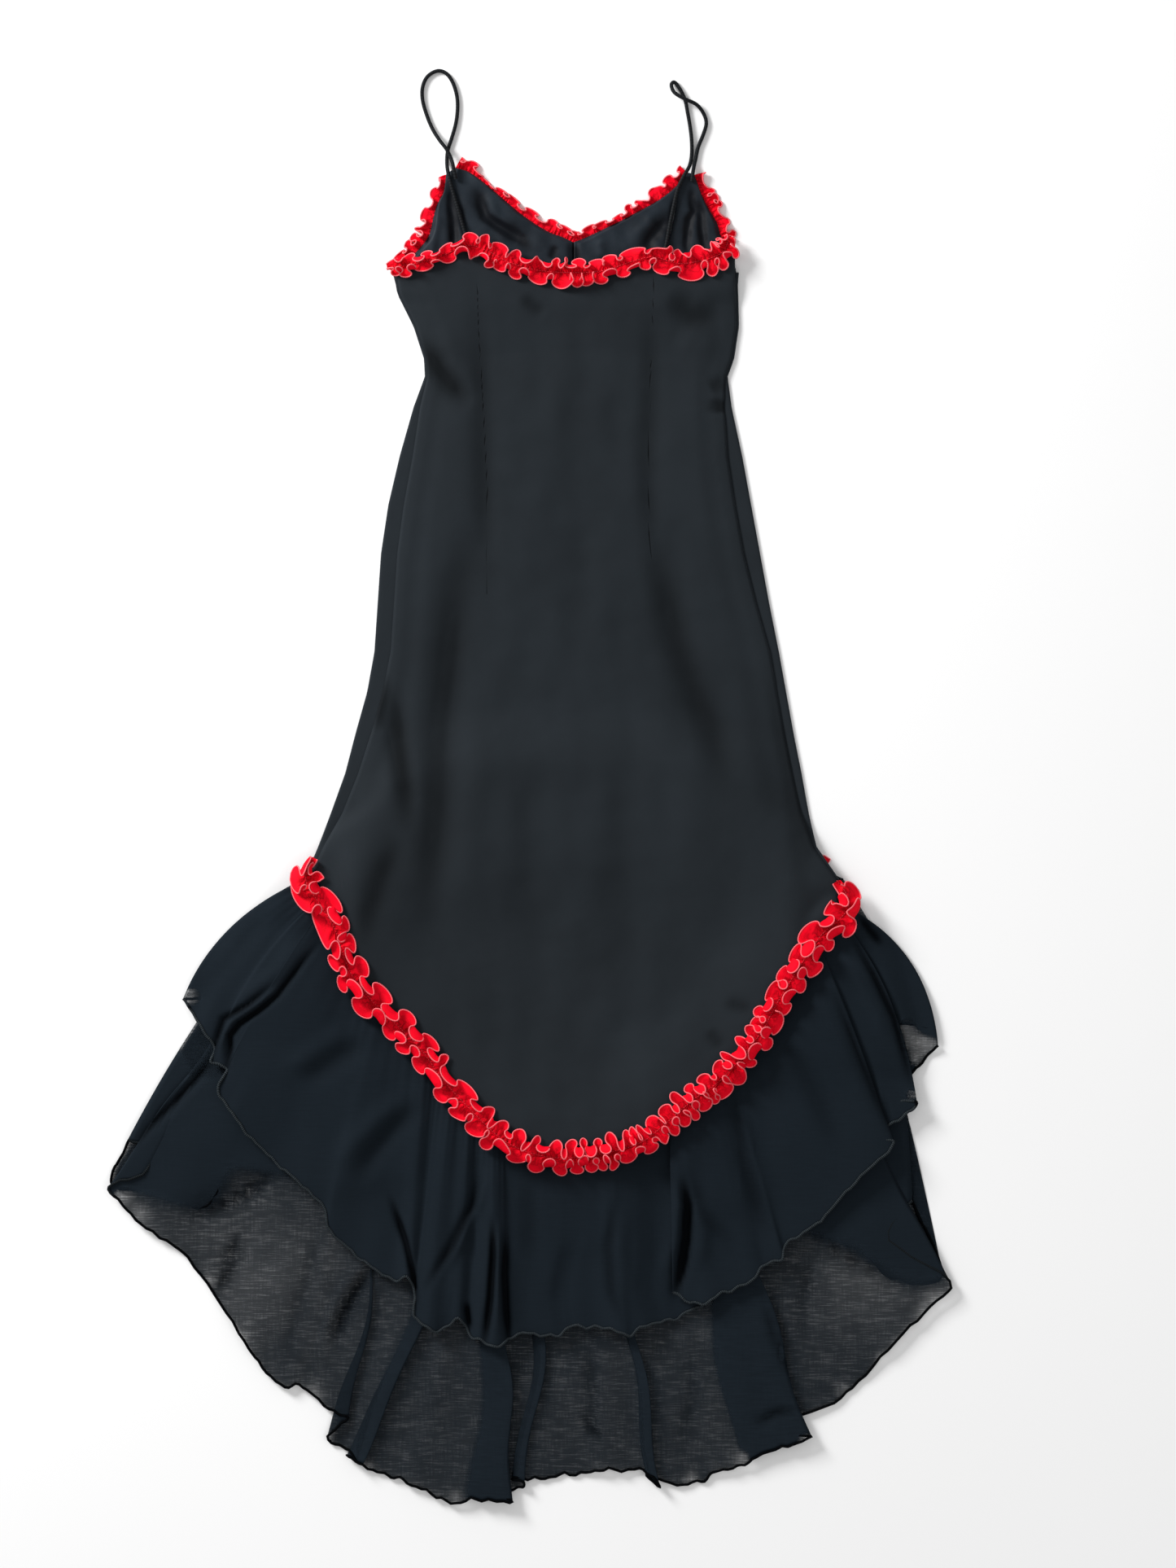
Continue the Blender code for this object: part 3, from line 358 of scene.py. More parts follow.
LOWER_BACK_TURNS = rows(
    Turn,
    (375, 157, 1400, 0), (396, 184, 1412, 0.5), (392, 176, 1442, 3.5), (388, 134, 1456, 4.4),
    (405, 151, 1480, 4.4), (420, 180, 1509, 4), (432, 222, 1537, 1.5), (444, 262, 1589, 2),
    (455, 300, 1647, 3), (464, 322, 1680, 2), (474, 350, 1704, 4), (482, 372, 1703, 2),
    (486, 404, 1732, 3.6), (490, 428, 1741, 4.4), (502, 402, 1766, 3), (512, 421, 1778, 0.5),
    (538, 434, 1790, 4), (572, 446, 1799, 7.5), (560, 426, 1788, 3.5), (580, 458, 1806, 0.5),
    (588, 480, 1815, 1), (594, 500, 1820, 3), (600, 530, 1836, 1.5), (606, 560, 1846, 4),
    (611, 592, 1841, 6.5), (618, 630, 1845, 8.5), (592, 602, 1836, 3.5), (640, 636, 1830, 0.5),
    (678, 644, 1819, 6), (665, 629, 1818, 3), (690, 664, 1816, 0.5), (702, 688, 1814, 1),
    (716, 720, 1809, 1), (728, 748, 1806, 4), (745, 786, 1806, 2), (755, 800, 1814, 5),
    (765, 811, 1824, 7.5), (753, 794, 1812, 3.5), (778, 832, 1824, 0.5), (800, 862, 1821, 1),
    (820, 878, 1808, 3), (835, 906, 1803, 4), (848, 930, 1789, 7.5), (862, 968, 1775, 7.5),
    (875, 996, 1764, 8), (852, 922, 1758, 3.5), (890, 1014, 1729, 0.5), (905, 1055, 1698, 1.5),
    (922, 1100, 1648, 4), (944, 1143, 1605, 4.4), (966, 1167, 1573, 4.4), (958, 1092, 1522, 2.5),
    (1036, 1121, 1474, 0)
)
UPPER_FRONT_TURNS = rows(
    Turn,
    (375, 227, 1226, 0), (470, 372, 1242, 0), (590, 560, 1190, 0), (705, 705, 1168, 0),
    (820, 850, 1190, 0), (940, 1026, 1246, 0), (1036, 1148, 1262, 0)
)
LOWER_FRONT_TURNS = rows(
    Turn,
    (375, 158, 1401, 0), (377, 137, 1455, 0), (392, 196, 1464, 0), (408, 236, 1482, 0),
    (420, 261, 1474, 0), (430, 286, 1421, 0), (450, 342, 1437, 0), (540, 500, 1400, 0),
    (705, 705, 1362, 0), (850, 880, 1420, 0), (940, 1003, 1511, 0), (968, 1060, 1538, 0),
    (992, 1099, 1572, 0), (1030, 1158, 1567, 0), (1035, 1120, 1474, 0)
)
STRAP_STOPS = {
    Side.LEFT: rows(
        Stop,
        (574, 297, 0), (570, 282, 0), (563, 258, 0), (556, 234, 0), (551, 214, 0), (549, 199, 0),
        (550, 184, 0), (555, 168, 0), (560, 150, 0), (562, 132, 0), (561, 116, 0), (556, 100, 0),
        (548, 89, 0), (537, 86, 0), (525, 93, 0), (519, 106, 0), (519, 122, 0), (524, 140, 0),
        (531, 157, 1), (540, 172, 5), (549, 184, 7), (555, 197, 4), (558, 210, 2), (560, 220, 1)),
    Side.RIGHT: rows(
        Stop,
        (816, 312, 0), (819, 298, 0), (823, 276, 0), (828, 252, 0), (833, 232, 0), (840, 217, 0),
        (847, 204, 0), (850, 190, 0), (850, 172, 0), (848, 154, 0), (845, 137, 0), (842, 122, 0),
        (836, 109, 0), (829, 100, 0), (825, 104, 3), (829, 114, 6), (842, 122, 7), (856, 128, 3),
        (865, 139, 0), (868, 151, 0), (864, 165, 0), (858, 180, 0), (855, 194, 0), (852, 208, 0),
        (850, 223, 0)),
}


def placed(name: str, data: bpy.types.ID) -> Piece:
    """Put an object with some data into the scene, at the origin."""
    piece = bpy.data.objects.new(name, data)
    bpy.context.scene.collection.objects.link(piece)
    return piece


def metres(across: Array, down: Array) -> Grids:
    """Turn steps from the grid's left and top into x and y in metres."""
    x = (np.asarray(across, float) - MIDDLE_ACROSS) * STEP
    y = (MIDDLE_DOWN - np.asarray(down, float)) * STEP
    return x, y


def smooth(points: Sequence, per_span: int) -> Array:
    """Return a smooth curve through points.

    Args:
        points: The points, each a row of numbers.
        per_span: Steps from one point to the next.

    Returns:
        An array with a row for each point of the curve.
    """
    given = np.array(points, float)
    guide = np.vstack([2 * given[0] - given[1], given, 2 * given[-1] - given[-2]])
    curve = []
    for index in range(1, len(guide) - 2):
        a, b, c, d = guide[index - 1:index + 3]
        for step in range(per_span):
            t = step / per_span
            bend = t * (2 * a - 5 * b + 4 * c - d + t * (3 * (b - c) + d - a))
            curve.append(b + 0.5 * t * (c - a + bend))
    curve.append(given[-1])
    return np.array(curve)


def lengths_along(line: Array) -> Array:
    """Return how far along a line each of its points lies."""
    return np.concatenate([[0.0], np.cumsum(np.linalg.norm(np.diff(line, axis=0), axis=1))])


def ease(value: Array) -> Array:
    """Rise softly from 0 to 1."""
    t = np.clip(value, 0.0, 1.0)
    return t * t * (3 - 2 * t)


def section(name: str, down: Array) -> Array:
    """Read one column of the body's sections at any height."""
    return np.interp(down, [row.down for row in SECTIONS], [getattr(row, name) for row in SECTIONS])


def along_curve(points: Sequence[Place]) -> Callable[[Array], Array]:
    """Return a function that says how far down a curve lies at a place across it."""
    curve = smooth(points, 8)
    return lambda across: np.interp(across, curve[:, 0], curve[:, 1])


seam_down = along_curve(HEM_SEAM)
neck_down = along_curve(BACK_NECK)


def front_seam_down(across: Array) -> Array:
    """Return how far down the front's hem seam lies, which rises to the centre front."""
    left = SECTIONS[-1].left
    right = SECTIONS[-1].right
    on_left = across < CENTRE_FRONT
    inside = np.where(on_left, across - left, right - across)
    width = np.where(on_left, CENTRE_FRONT - left, right - CENTRE_FRONT)
    part = np.clip(inside / width, 0.0, 1.0)
    return SIDE_SEAM_END + (FRONT_SEAM_AT_CENTRE - SIDE_SEAM_END) * part * (2 - part)


def path_reading(path: Sequence[Place], across: Array, down: Array) -> Grids:
    """Measure places on the grid against a path.

    Args:
        path: The path's places.
        across: Steps from the left.
        down: Steps from the top.

    Returns:
        How far each place lies from the path, and the share of the path at its nearest point.
    """
    line = np.array(path, float)
    at = lengths_along(line)
    nearest = np.full(np.shape(across), np.inf)
    share = np.zeros(np.shape(across))
    for index, (start, end) in enumerate(zip(line[:-1], line[1:])):
        run = end - start
        part = ((across - start[0]) * run[0] + (down - start[1]) * run[1]) / run.dot(run)
        part = np.clip(part, 0.0, 1.0)
        aside = np.hypot(across - start[0] - part * run[0], down - start[1] - part * run[1])
        closer = aside < nearest
        share = np.where(closer, (at[index] + part * (at[index + 1] - at[index])) / at[-1], share)
        nearest = np.minimum(nearest, aside)
    return nearest, share


def creased(across: Array, down: Array, creases: Sequence[Crease]) -> Grids:
    """Press creases into cloth.

    Args:
        across: Steps from the left.
        down: Steps from the top.
        creases: The creases.

    Returns:
        How far each place is pressed down, in metres, and how steeply, in metres a step.
    """
    depth = np.zeros_like(across)
    steep = np.zeros_like(across)
    for crease in creases:
        aside, share = path_reading(crease.path, across, down)
        fade = (ease(share * CREASE_FADE + CREASE_END)
                * ease((1 - share) * CREASE_FADE + CREASE_END))
        pressed = crease.depth * np.exp(-((aside / crease.width) ** 2)) * fade
        depth += pressed
        steep = np.maximum(steep, pressed / crease.width)
    return depth, steep


def spotted(across: Array, down: Array, spots: Sequence[Spot]) -> Array:
    """Return 1 at the middles of spots, fading to 0 round them."""
    total = np.zeros_like(across)
    for spot in spots:
        away = ((across - spot.across) ** 2 + (down - spot.down) ** 2) / spot.radius ** 2
        total += np.exp(-away)
    return np.clip(total, 0.0, 1.0)


def softened(grid: Array, times: int) -> Array:
    """Blend each place of a grid with its neighbours, several times."""
    for _ in range(times):
        wide = np.pad(grid, 1, mode="edge")
        sides = wide[:-2, 1:-1] + wide[2:, 1:-1] + wide[1:-1, :-2] + wide[1:-1, 2:]
        grid = (grid + sides) / 5
    return grid


def crease_shade_mark(steep: Array, full: float) -> Array:
    """Return the painted shade of creases, 1 where they are as steep as the full steepness."""
    return np.clip(steep / full, 0.0, 1.0)


@dataclass(frozen=True)
class Unevenness:
    """Soft, seeded unevenness of cloth: waves of several lengths that cross each other."""

    seed: int
    length: float
    height: float
    waves: int = 9

    def at(self, x: Array, y: Array) -> Array:
        """Return the height of the unevenness at places in metres."""
        chance = np.random.default_rng(self.seed)
        total = np.zeros_like(x)
        for _ in range(self.waves):
            angle, phase = chance.uniform(0, 2 * math.pi, 2)
            turn = 2 * math.pi / (self.length * chance.uniform(0.6, 1.7))
            total += np.sin(turn * (x * math.cos(angle) + y * math.sin(angle)) + phase)
        return total * self.height / math.sqrt(self.waves)


@dataclass
class Pile:
    """Heights of all the cloth laid down so far, on square cells over the floor."""

    cell: float = 0.003
    low: tuple[float, float] = (-0.60, -0.95)
    shape: tuple[int, int] = (400, 640)
    heights: Array = field(init=False)

    def __post_init__(self) -> None:
        """Start with a bare floor."""
        self.heights = np.zeros(self.shape)

    def add(self, sheet: Array, above: float) -> None:
        """Lay a sheet into the heights.

        Args:
            sheet: Grid of points on the sheet.
            above: How far the cloth reaches above the points.
        """
        for axis in (0, 1):
            widest = np.linalg.norm(np.diff(sheet, axis=axis)[..., :2], axis=-1).max()
            times = max(1, math.ceil(widest / (0.8 * self.cell)))
            count = sheet.shape[axis]
            at = np.linspace(0, count - 1, (count - 1) * times + 1)
            low = np.minimum(at.astype(int), count - 2)
            shape = [1, 1, 1]
            shape[axis] = -1
            share = (at - low).reshape(shape)
            near = np.take(sheet, low, axis=axis)
            far = np.take(sheet, low + 1, axis=axis)
            sheet = near + (far - near) * share
        i = np.rint((sheet[..., 0] - self.low[0]) / self.cell).astype(int)
        j = np.rint((sheet[..., 1] - self.low[1]) / self.cell).astype(int)
        np.maximum.at(self.heights, (i, j), sheet[..., 2] + above)

    def rest(self, across: Array, down: Array, reach: int) -> Array:
        """Return heights to rest on.

        Args:
            across: Steps from the left.
            down: Steps from the top.
            reach: Cells round each place whose heights the cloth stays above.

        Returns:
            The height at each place, in metres.
        """
        level = self.heights
        for axis in (0, 1):
            level = np.maximum.reduce(self._shifted(level, axis, 2 * reach))
        for axis in (0, 1):
            level = np.mean(self._shifted(level, axis, reach), axis=0)
        x, y = metres(across, down)
        i = (x - self.low[0]) / self.cell
        j = (y - self.low[1]) / self.cell
        i0 = i.astype(int)
        j0 = j.astype(int)
        u = i - i0
        v = j - j0
        near = level[i0, j0] * (1 - v) + level[i0, j0 + 1] * v
        far = level[i0 + 1, j0] * (1 - v) + level[i0 + 1, j0 + 1] * v
        return near * (1 - u) + far * u

    @staticmethod
    def _shifted(level: Array, axis: int, reach: int) -> list[Array]:
        """Return the level moved by each whole number of cells up to a reach."""
        return [np.roll(level, shift, axis=axis) for shift in range(-reach, reach + 1)]


def points_at(across: Array, down: Array, height: Array) -> Array:
    """Join grids of places and heights into one grid of points in metres."""
    x, y = metres(across, down)
    return np.stack([x, y, height], axis=-1)


def unit(vectors: Array) -> Array:
    """Return the vectors at a length of one."""
    return vectors / np.maximum(np.linalg.norm(vectors, axis=-1, keepdims=True), 1e-12)


def facing(sheet: Array) -> Array:
    """Return which way a sheet faces at each point, also where it turns back on itself."""
    down = unit(np.gradient(sheet, axis=0))
    step = np.diff(sheet, axis=1)
    before = np.concatenate([step[:, :1], step], axis=1)
    after = np.concatenate([step, step[:, -1:]], axis=1)
    sides = []
    for run in (before, after):
        sides.append(unit(run - np.sum(run * down, axis=-1, keepdims=True) * down))
    return unit(np.cross(down, sides[0] + sides[1]))


class ClothMaker:
    """Makes closed thin shells of cloth from grids of points."""

    @staticmethod
    def cells(sheet: Array, index: Array) -> Array:
        """Split each cell of a grid along its shorter diagonal into two triangles."""
        a, d = index[:-1, :-1].ravel(), index[:-1, 1:].ravel()
        b, c = index[1:, :-1].ravel(), index[1:, 1:].ravel()
        falling = np.linalg.norm(sheet[1:, 1:] - sheet[:-1, :-1], axis=-1)
        rising = np.linalg.norm(sheet[1:, :-1] - sheet[:-1, 1:], axis=-1)
        along = (falling < rising).ravel()[:, None]
        first = np.where(along, np.stack([a, b, c], axis=1), np.stack([a, b, d], axis=1))
        second = np.where(along, np.stack([a, c, d], axis=1), np.stack([b, c, d], axis=1))
        return np.concatenate([first, second])

    @staticmethod
    def rim(index: Array) -> Array:
        """Return the triangles that close a shell round its edge."""
        loop = np.concatenate([index[0, :-1], index[:-1, -1], index[-1, :0:-1], index[:0:-1, 0]])
        after = np.roll(loop, -1)
        under = index.size
        return np.concatenate([
            np.stack([loop, after, after + under], axis=1),
            np.stack([loop, after + under, loop + under], axis=1)])

    def shell(
        self, name: str, sheets: Sequence[Array], thickness: float,
        material: Material, marks: Mapping[str, Sequence[Array]] | None = None,
    ) -> Piece:
        """Make one piece of cloth.

        Args:
            name: Name of the piece.
            sheets: Grids of points on the middle of the cloth.
            thickness: Thickness of the cloth.
            material: Its finish.
            marks: Numbers for the finish to read, by name, a grid for each sheet.

        Returns:
            The new object, at the origin.
        """
        corners, faces, woven = [], [], []
        readings: dict[str, list[Array]] = {mark: [] for mark in marks or {}}
        start = 0
        for order, sheet in enumerate(sheets):
            index = np.arange(sheet.shape[0] * sheet.shape[1]).reshape(sheet.shape[:2])
            half = facing(sheet) * thickness / 2
            top = self.cells(sheet, index)
            corners += [(sheet + half).reshape(-1, 3), (sheet - half).reshape(-1, 3)]
            faces += [top + start, top[:, ::-1] + index.size + start, self.rim(index) + start]
            start += 2 * index.size
            over = np.linalg.norm(np.diff(sheet, axis=1), axis=-1)
            along = np.linalg.norm(np.diff(sheet, axis=0), axis=-1)
            u = np.concatenate([np.zeros((len(sheet), 1)), np.cumsum(over, axis=1)], axis=1)
            v = np.concatenate([np.zeros((1, sheet.shape[1])), np.cumsum(along, axis=0)])
            cloth = np.stack([u, v], axis=-1).reshape(-1, 2)
            woven += [cloth, cloth]
            for mark, grids in (marks or {}).items():
                readings[mark] += [grids[order].ravel(), grids[order].ravel()]
        mesh = bpy.data.meshes.new(name)
        mesh.from_pydata(np.concatenate(corners).tolist(), [], np.concatenate(faces).tolist())
        layer = mesh.uv_layers.new(name="weave")
        vertex = np.empty(len(mesh.loops), np.int32)
        mesh.loops.foreach_get("vertex_index", vertex)
        layer.data.foreach_set("uv", np.concatenate(woven)[vertex].ravel())
        for mark, grids in readings.items():
            attribute = mesh.attributes.new(mark, "FLOAT", "POINT")
            attribute.data.foreach_set("value", np.concatenate(grids).astype(np.float32))
        mesh.materials.append(material)
        mesh.shade_smooth()
        return placed(name, mesh)


Value = Union["Signal", Socket, float, int, tuple]


def maths(operation: str, swapped: bool = False) -> Callable[..., "Signal"]:
    """Return a method that adds a Math node.

    Args:
        operation: Blender's name of the operation.
        swapped: Whether the signal comes second, as where a number stands before it.

    Returns:
        The method, for the class of signals.
    """
    def method(signal: "Signal", *others: Value) -> "Signal":
        """Add the node and return its result."""
        values = (*others, signal) if swapped else (signal, *others)
        sockets = dict(enumerate(values))
        return signal.board.signal("ShaderNodeMath", 0, {"operation": operation}, sockets)

    return method


class Signal:
    """A socket that takes part in arithmetic: each operation adds its Math node."""

    def __init__(self, board: "Board", socket: Socket) -> None:
        """Wrap a socket of a board."""
        self.board = board
        self.socket = socket

    __add__ = maths("ADD")
    __radd__ = maths("ADD", swapped=True)
    __sub__ = maths("SUBTRACT")
    __rsub__ = maths("SUBTRACT", swapped=True)
    __mul__ = maths("MULTIPLY")
    __pow__ = maths("POWER")
    sine = maths("SINE")
    size = maths("ABSOLUTE")
    least = maths("MINIMUM")
    most = maths("MAXIMUM")

    def share(self) -> "Signal":
        """Return it held between 0 and 1."""
        return self.most(0.0).least(1.0)


class Board:
    """Adds nodes to a tree, with their settings and their sockets' values or links."""

    def __init__(self, tree: bpy.types.NodeTree) -> None:
        """Work on a tree."""
        self.tree = tree

    def add(
        self, kind: str, settings: Mapping[str, object] | None = None,
        sockets: Mapping[str | int, Value] | None = None,
    ) -> Node:
        """Add a node.

        Args:
            kind: Blender's name of the node's type.
            settings: Its settings, set first.
            sockets: Values or links by socket name or number.

        Returns:
            The node.
        """
        node = self.tree.nodes.new(kind)
        for name, setting in (settings or {}).items():
            setattr(node, name, setting)
        for key, value in (sockets or {}).items():
            socket = node.inputs[key]
            if isinstance(value, Signal):
                self.tree.links.new(value.socket, socket)
            elif isinstance(value, Socket):
                self.tree.links.new(value, socket)
            else:
                socket.default_value = value
        return node

    def signal(self, kind: str, output: str | int, settings: Mapping[str, object] | None = None,
               sockets: Mapping[str | int, Value] | None = None) -> Signal:
        """Add a node and return one of its outputs for arithmetic."""
        return Signal(self, self.add(kind, settings, sockets).outputs[output])

    def noise(self, where: Value, scale: float, detail: float, rough: float = 0.5) -> Signal:
        """Add a noise texture that reads a place."""
        return self.signal("ShaderNodeTexNoise", "Fac", None, {
            "Vector": where, "Scale": scale, "Detail": detail, "Roughness": rough})

    def stretched(self, where: Value, scale: tuple[float, float, float]) -> Socket:
        """Scale a place along its axes."""
        return self.add("ShaderNodeMapping", None, {"Vector": where, "Scale": scale}).outputs[0]

    def blend(self, share: Value, low: tuple, high: tuple) -> Socket:
        """Mix two colours by a share."""
        node = self.add("ShaderNodeMix", {"data_type": "RGBA"}, {
            "Factor": share, 6: (*low, 1.0), 7: (*high, 1.0)})
        return node.outputs[2]

    def place(self) -> Socket:
        """Return where each point is on the object."""
        return self.add("ShaderNodeTexCoord").outputs["Object"]

    def weave(self) -> Socket:
        """Return where each point is in the weave, in metres."""
        return self.add("ShaderNodeUVMap", {"uv_map": "weave"}).outputs[0]

    def mark(self, name: str) -> Signal:
        """Read a number that the piece carries at its points."""
        return self.signal("ShaderNodeAttribute", "Fac", {"attribute_name": name})

    def bump(self, height: Value, distance: float, strength: float,
             under: Socket | None = None) -> Socket:
        """Add a bump, over another one where it is given."""
        sockets: dict[str | int, Value] = {
            "Height": height, "Distance": distance, "Strength": strength}
        if under is not None:
            sockets["Normal"] = under
        return self.add("ShaderNodeBump", None, sockets).outputs[0]


Dressing = tuple[Signal, dict[str, Value]]


def surface(name: str, values: Mapping[str, object]) -> tuple[Material, Node]:
    """Make a material whose Principled shader has fixed values on some of its sockets."""
    material = bpy.data.materials.new(name)
    material.use_nodes = True
    shader = material.node_tree.nodes["Principled BSDF"]
    for socket, value in values.items():
        shader.inputs[socket].default_value = value
    return material, shader


@dataclass(frozen=True)
class Finish:
    """Start of every finish: a Principled surface whose fixed values are set on its sockets."""

    name: str
    dark: tuple[float, float, float]
    light: tuple[float, float, float]
    roughness: float
    sheen: float = 0.0
    sheen_roughness: float = 0.4
    sheen_tint: tuple[float, float, float] = (0.7, 0.85, 1.0)
    specular: float = 0.10

    def make(self) -> Material:
        """Make the material."""
        material, shader = surface(self.name, {
            "Roughness": self.roughness, "Sheen Weight": self.sheen,
            "Sheen Roughness": self.sheen_roughness, "Sheen Tint": (*self.sheen_tint, 1.0),
            "Specular IOR Level": self.specular})
        board = Board(material.node_tree)
        shade, linked = self.dress(board)
        linked["Base Color"] = board.blend(shade, self.dark, self.light)
        for name, value in linked.items():
            socket = value.socket if isinstance(value, Signal) else value
            board.tree.links.new(socket, shader.inputs[name])
        return material

    def dress(self, board: Board) -> Dressing:
        """Add what changes over the surface.

        Args:
            board: The material's nodes.

        Returns:
            The share of the light colour, and values by the name of the shader's socket.
        """
        raise NotImplementedError


@dataclass(frozen=True)
class CrepeFinish(Finish):
    """Matt crepe with a pebbled grain, faint cloudiness and a pressed line at each dart, with
    painted shade along the darts and in the creases.
    """

    grain_per_metre: float = 1500.0
    grain_depth: float = 0.00014
    grain_contrast: float = 0.22
    cloud_contrast: float = 0.5
    level: float = 0.215
    dart_width: float = 0.0013
    dart_painted_shade: float = 0.5
    crease_painted_shade: float = 0.62

    def dress(self, board: Board) -> Dressing:
        """Add grain, cloudiness and dart lines, and paint shade along the darts and in the creases.
        """
        place = board.place()
        weave = board.weave()
        cloud = board.noise(place, 9.0, 4.0, 0.6)
        pebble = board.noise(board.stretched(weave, (1.0, 0.55, 1.0)), self.grain_per_metre, 3.0)
        rib = board.noise(board.stretched(weave, (0.25, 1.0, 1.0)), self.grain_per_metre, 2.0)
        grain = pebble * 0.7 + rib * 0.3
        dart = 1 - (board.mark("dart") * (1 / self.dart_width)).size().least(1.0)
        # Painted shade: the base colour darkens along the dart lines and in the creases.
        shade = (cloud * self.cloud_contrast + grain * self.grain_contrast + self.level
                 - dart * self.dart_painted_shade - board.mark("fold") * self.crease_painted_shade).share()
        soft = board.bump(board.noise(place, 38.0, 3.0), 0.0012, 0.35)
        pressed = board.bump(1 - dart, 0.0008, 0.9, soft)
        return shade, {"Roughness": self.roughness + (cloud - 0.5) * 0.12,
                       "Normal": board.bump(grain, self.grain_depth, 0.55, pressed)}


@dataclass(frozen=True)
class SatinFinish(Finish):
    """Smooth lining with a fine diagonal weave, a soft shine that varies a little, and painted
    shade in its creases.
    """

    threads_per_metre: float = 2600.0
    thread_depth: float = 0.00004
    thread_contrast: float = 0.12
    cloud_contrast: float = 0.9
    crease_painted_shade: float = 1.1

    def dress(self, board: Board) -> Dressing:
        """Add the weave, the uneven shine and the painted shade in the creases."""
        place = board.place()
        weave = board.weave()
        parts = board.add("ShaderNodeSeparateXYZ", None, {"Vector": weave})
        across = Signal(board, parts.outputs[0])
        down = Signal(board, parts.outputs[1])
        twill = ((across + down) * (self.threads_per_metre * math.pi)).sine() * 0.5 + 0.5
        cloud = board.noise(place, 30.0, 3.0)
        # Painted shade: the base colour darkens in the creases.
        shade = (cloud * self.cloud_contrast + twill * self.thread_contrast
                 - board.mark("fold") * self.crease_painted_shade).share()
        soft = board.bump(board.noise(place, 120.0, 2.0), 0.0006, 0.4)
        return shade, {"Roughness": self.roughness + (cloud - 0.5) * 0.10,
                       "Normal": board.bump(twill, self.thread_depth, 0.4, soft)}


@dataclass(frozen=True)
class ChiffonFinish(Finish):
    """See-through chiffon with uneven threads, denser where it is folded or lies on cloth, with
    painted shade in its creases and painted light where it is made more see-through round its
    raised hems.
    """

    cover: float = 0.70
    slub_clear: float = 0.25
    slubs_per_metre: float = 880.0
    warps_per_metre: float = 520.0
    thread_contrast: float = 7.0
    cloud_cover: float = 0.10
    crease_shade_cover: float = 0.2
    crease_painted_shade: float = 0.6
    lit_and_airy_clear: float = 0.30
    lined_plain: float = 0.8
    lined_shade: float = 0.42

    def dress(self, board: Board) -> Dressing:
        """Add threads, and let the marks on the mesh change the cover and the shade, with painted
        shade in the creases and painted light round the raised hems.
        """
        place = board.place()
        slub = board.noise(board.stretched(place, (0.05, 1.0, 0.3)), self.slubs_per_metre, 2.0, 0.6)
        warp = board.noise(board.stretched(place, (1.0, 0.10, 0.3)), self.warps_per_metre, 1.0)
        cloud = board.noise(place, 12.0, 3.0)
        thread = slub * 0.80 + warp * 0.20
        clear = ((thread - 0.50) * self.thread_contrast).share()
        fold = board.mark("fold")
        # Painted shade: creases darken the cloth and make it denser. Painted light: the cloth is
        # made clearer round its raised hems, as if lit from under; it is also clearer where little
        # cloth lies behind it.
        cover = (self.cover - clear * self.slub_clear + (cloud - 0.5) * self.cloud_cover
                 + fold * self.crease_shade_cover - board.mark("lit_and_airy") * self.lit_and_airy_clear
                 + board.mark("lined"))
        plain = board.mark("lined") * self.lined_plain
        shade = (thread + (self.lined_shade - thread) * plain - fold * self.crease_painted_shade).share()
        return shade, {"Alpha": cover.share(), "Normal": board.bump(thread, 0.00006, 0.4)}


@dataclass(frozen=True)
class RuffleFinish(Finish):
    """Crinkled red cloth, with painted shade in its crinkles, along its gathers and towards the
    stitching.
    """

    crinkles_per_wave: float = 4.5
    crinkle_depth: float = 0.0026
    crease_sharpness: float = 14.0
    gather_painted_shade: float = 0.75

    def dress(self, board: Board) -> Dressing:
        """Add crinkles that run out from the gathers, and the painted shade in them and near the
        stitching.
        """
        place = board.place()
        reach = board.mark("reach")
        gathers = board.add("ShaderNodeCombineXYZ", None, {
            "X": board.mark("gather"), "Y": reach * 0.45}).outputs[0]
        crinkle = board.noise(gathers, self.crinkles_per_wave, 3.0, 0.55)
        grain = board.noise(place, 1400.0, 2.0)
        gathered = (1 - reach) ** 1.4
        crease = 1 - ((crinkle - 0.5).size() * self.crease_sharpness).least(1.0)
        # Painted shade: the red darkens towards the stitching, along crease lines by the gathers
        # and in the crinkles.
        shade = (reach * 0.35 + 0.50 + (crinkle - 0.5) * 0.7 + grain * 0.1
                 - gathered * crease * self.gather_painted_shade - crease * 0.12).share()
        folds = board.bump(crinkle * (0.3 + gathered * 0.7), self.crinkle_depth, 0.8)
        return shade, {"Normal": board.bump(grain, 0.00012, 0.5, folds)}


@dataclass(frozen=True)
class ThreadFinish(Finish):
    """Thread wound round an edge or a cord, seen as small rings, lighter on each ring, partly its
    pattern and partly a painted highlight, and darkest on an outer edge, as painted shade.
    """

    rings_per_metre: float = 620.0
    ring_depth: float = 0.00035

    def dress(self, board: Board) -> Dressing:
        """Add the rings, their painted highlights and the painted shade on outer edges."""
        place = board.place()
        along = board.mark("along")
        uneven = board.noise(place, 260.0, 2.0)
        ring = ((along * self.rings_per_metre + uneven * 0.6) * (2 * math.pi)).sine() * 0.5 + 0.5
        # Painted highlight on the rings, and painted shade where the outer mark is 1.
        shade = (ring * 0.75 + uneven * 0.35).least(1.0) * (1 - board.mark("outer"))
        return shade, {"Normal": board.bump(ring, self.ring_depth, 0.7)}


